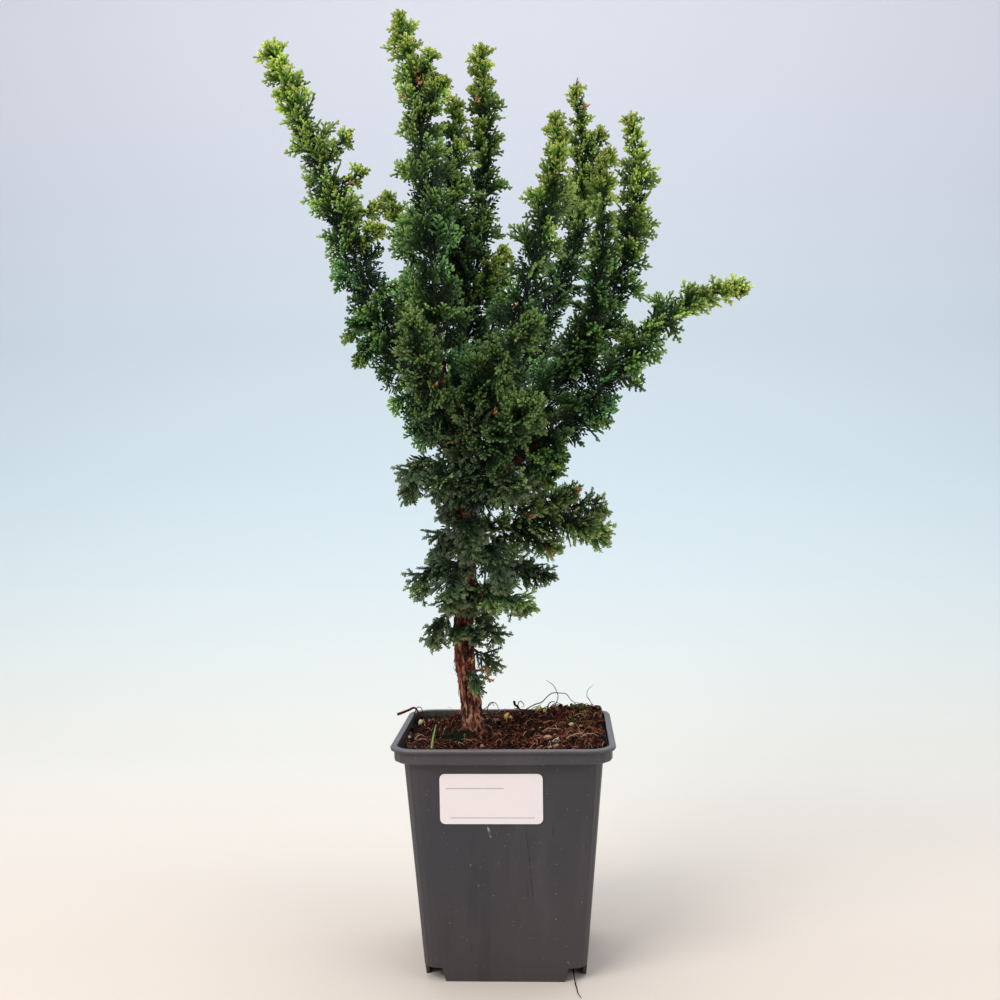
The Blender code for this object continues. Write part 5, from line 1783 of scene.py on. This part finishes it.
# %% The uneven grey
def plastic_colour(tree, z, streaks, clouds):
    """Clouds of two greys, a browner foot, pale and dark streaks, and a collar painted lighter as
    painted light.
    """
    colour = ramp(tree, clouds, (0.35, (0.035, 0.036, 0.044)), (0.65, (0.051, 0.046, 0.050)))
    low = fade(tree, z, 70 * MM, 5 * MM)
    colour = mix(tree, number(tree, "MULTIPLY", low, 0.55), colour, (0.054, 0.045, 0.045))
    light = number(tree, "MULTIPLY", fade(tree, streaks, 0.52, 0.75), 0.30)
    colour = mix(tree, light, colour, (0.088, 0.082, 0.090))
    dark = number(tree, "MULTIPLY", fade(tree, streaks, 0.45, 0.28), 0.45)
    colour = mix(tree, dark, colour, (0.024, 0.024, 0.029))
    scuff_noise = grain(tree, 300.0, 2.0, stretch=(1.0, 1.0, 0.06))
    scuffs = number(tree, "MULTIPLY", fade(tree, scuff_noise, 0.70, 0.76), 0.7)
    colour = mix(tree, scuffs, colour, (0.020, 0.019, 0.022))
    # Painted light: the collar above its foot is drawn lighter all round.
    rim = fade(tree, z, 109.5 * MM, 111 * MM)
    return mix(tree, number(tree, "MULTIPLY", rim, 0.30), colour, (0.100, 0.092, 0.104))


# %% Dust, painted light on the lip, specks and scratches
def dust_and_lit_lip_colour(tree, colour, z, dust):
    """Peat dust on the lip, whose pale top is partly painted light, and pale specks all over."""
    # Partly painted light: the top of the lip is drawn paler all over, more where the dust's noise
    # is high.
    top = fade(tree, z, 116.6 * MM, 117.3 * MM)
    layer = number(tree, "MULTIPLY", top, number(tree, "MULTIPLY_ADD", dust, 0.5, 0.25))
    colour = mix(tree, layer, colour, (0.24, 0.22, 0.22))
    specks = number(tree, "MULTIPLY", fade(tree, grain(tree, 950.0, 1.0), 0.755, 0.785), 0.55)
    return mix(tree, specks, colour, (0.42, 0.38, 0.36))


def scratched_colour(tree, colour, place, streaks, dust):
    """A short pale scratch beside the sticker and a long dark scrape under it."""
    x, y, z = place
    front = number(tree, "LESS_THAN", y, -36 * MM)
    scratch = spot(tree, number(tree, "MULTIPLY_ADD", z, 0.25, x), z, SCRATCH)
    broken = number(tree, "MULTIPLY", front, fade(tree, dust, 0.38, 0.6))
    scratch = number(tree, "MULTIPLY", scratch, broken)
    colour = mix(tree, number(tree, "MULTIPLY", scratch, 0.8), colour, (0.5, 0.52, 0.58))
    leaning = number(tree, "MULTIPLY_ADD", z, 0.09, x)
    scrape = spot(tree, number(tree, "MULTIPLY_ADD", streaks, 4 * MM, leaning), z, SCRAPE)
    broken = number(tree, "MULTIPLY", front, fade(tree, dust, 0.30, 0.58))
    scrape = number(tree, "MULTIPLY", scrape, broken)
    return mix(tree, number(tree, "MULTIPLY", scrape, 0.85), colour, (0.012, 0.012, 0.015))


# %% Pot material
def pot_material():
    """Dull recycled plastic."""
    material, tree, shader = make_material("anthracite_plastic")
    place = position(tree)
    streaks = grain(tree, 55.0, 4.0, stretch=(1.0, 1.0, 0.12))
    clouds, dust = grain(tree, 16.0, 3.0), grain(tree, 500.0, 4.0)
    colour = plastic_colour(tree, place[2], streaks, clouds)
    colour = dust_and_lit_lip_colour(tree, colour, place[2], dust)
    colour = scratched_colour(tree, colour, place, streaks, dust)
    fine = grain(tree, 2600.0, 2.0)
    little = number(tree, "MULTIPLY", fine, 0.25)
    relief = number(tree, "ADD", number(tree, "MULTIPLY", streaks, 1.2), little)
    relief = bump(tree, relief, 0.0004, 0.25)
    roughness = number(tree, "MULTIPLY_ADD", fine, 0.08, 0.34)
    roughness = number(tree, "MULTIPLY_ADD", clouds, 0.20, roughness)
    connect(tree, shader, Base_Color=colour, Roughness=roughness, Normal=relief)
    shader.inputs["Specular IOR Level"].default_value = 0.4
    return material


def finish_node(name, material):
    """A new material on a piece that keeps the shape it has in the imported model."""
    for slot in bpy.data.objects[name].material_slots:
        slot.material = material


finish_node("pot", pot_material())

# %% [markdown]
# The sticker's fibres show as a very fine change of its white, and the ruled lines are
# ink that has worn thin. They're drawn in the shader from the place on the sticker,
# which keeps them sharp and needs no picture file.

# %% Sticker material
RULES = ((-22, 6, 5.2), (-20, 21, -9.4))  # start, end and level of each line in mm
RULE_THICKNESS = 0.35


def ruled_line(tree, x, z, start, end, level):
    """1 on a level line of the sticker between start and end, all in mm from its middle."""
    across = number(tree, "COMPARE", x, (start + end) / 2 * MM, (end - start) / 2 * MM)
    up = number(tree, "COMPARE", z, level * MM, RULE_THICKNESS / 2 * MM)
    return number(tree, "MULTIPLY", across, up)


def sticker_material():
    """White coated paper with two ruled lines."""
    material, tree, shader = make_material("sticker_paper")
    x, _, z = position(tree)
    x, z = number(tree, "SUBTRACT", x, LABEL_X), number(tree, "SUBTRACT", z, LABEL_Z)
    fibres = grain(tree, 900.0, 4.0)
    soft = grain(tree, 45.0, 3.0)
    colour = mix(tree, fibres, (0.87, 0.79, 0.79), (0.92, 0.86, 0.86))
    colour = mix(tree, number(tree, "MULTIPLY", soft, 0.15), colour, (0.76, 0.70, 0.70))
    ink = number(tree, "MAXIMUM", *(ruled_line(tree, x, z, *row) for row in RULES))
    worn_ink = number(tree, "MULTIPLY", ink, number(tree, "MULTIPLY_ADD", fibres, 0.4, 0.45))
    colour = mix(tree, worn_ink, colour, (0.10, 0.08, 0.085))
    roughness = number(tree, "MULTIPLY_ADD", fibres, 0.2, 0.42)
    relief = bump(tree, fibres, 0.0001, 0.3)
    connect(tree, shader, Base_Color=colour, Roughness=roughness, Normal=relief)
    shader.inputs["Specular IOR Level"].default_value = 0.35
    return material


finish_node("label", sticker_material())
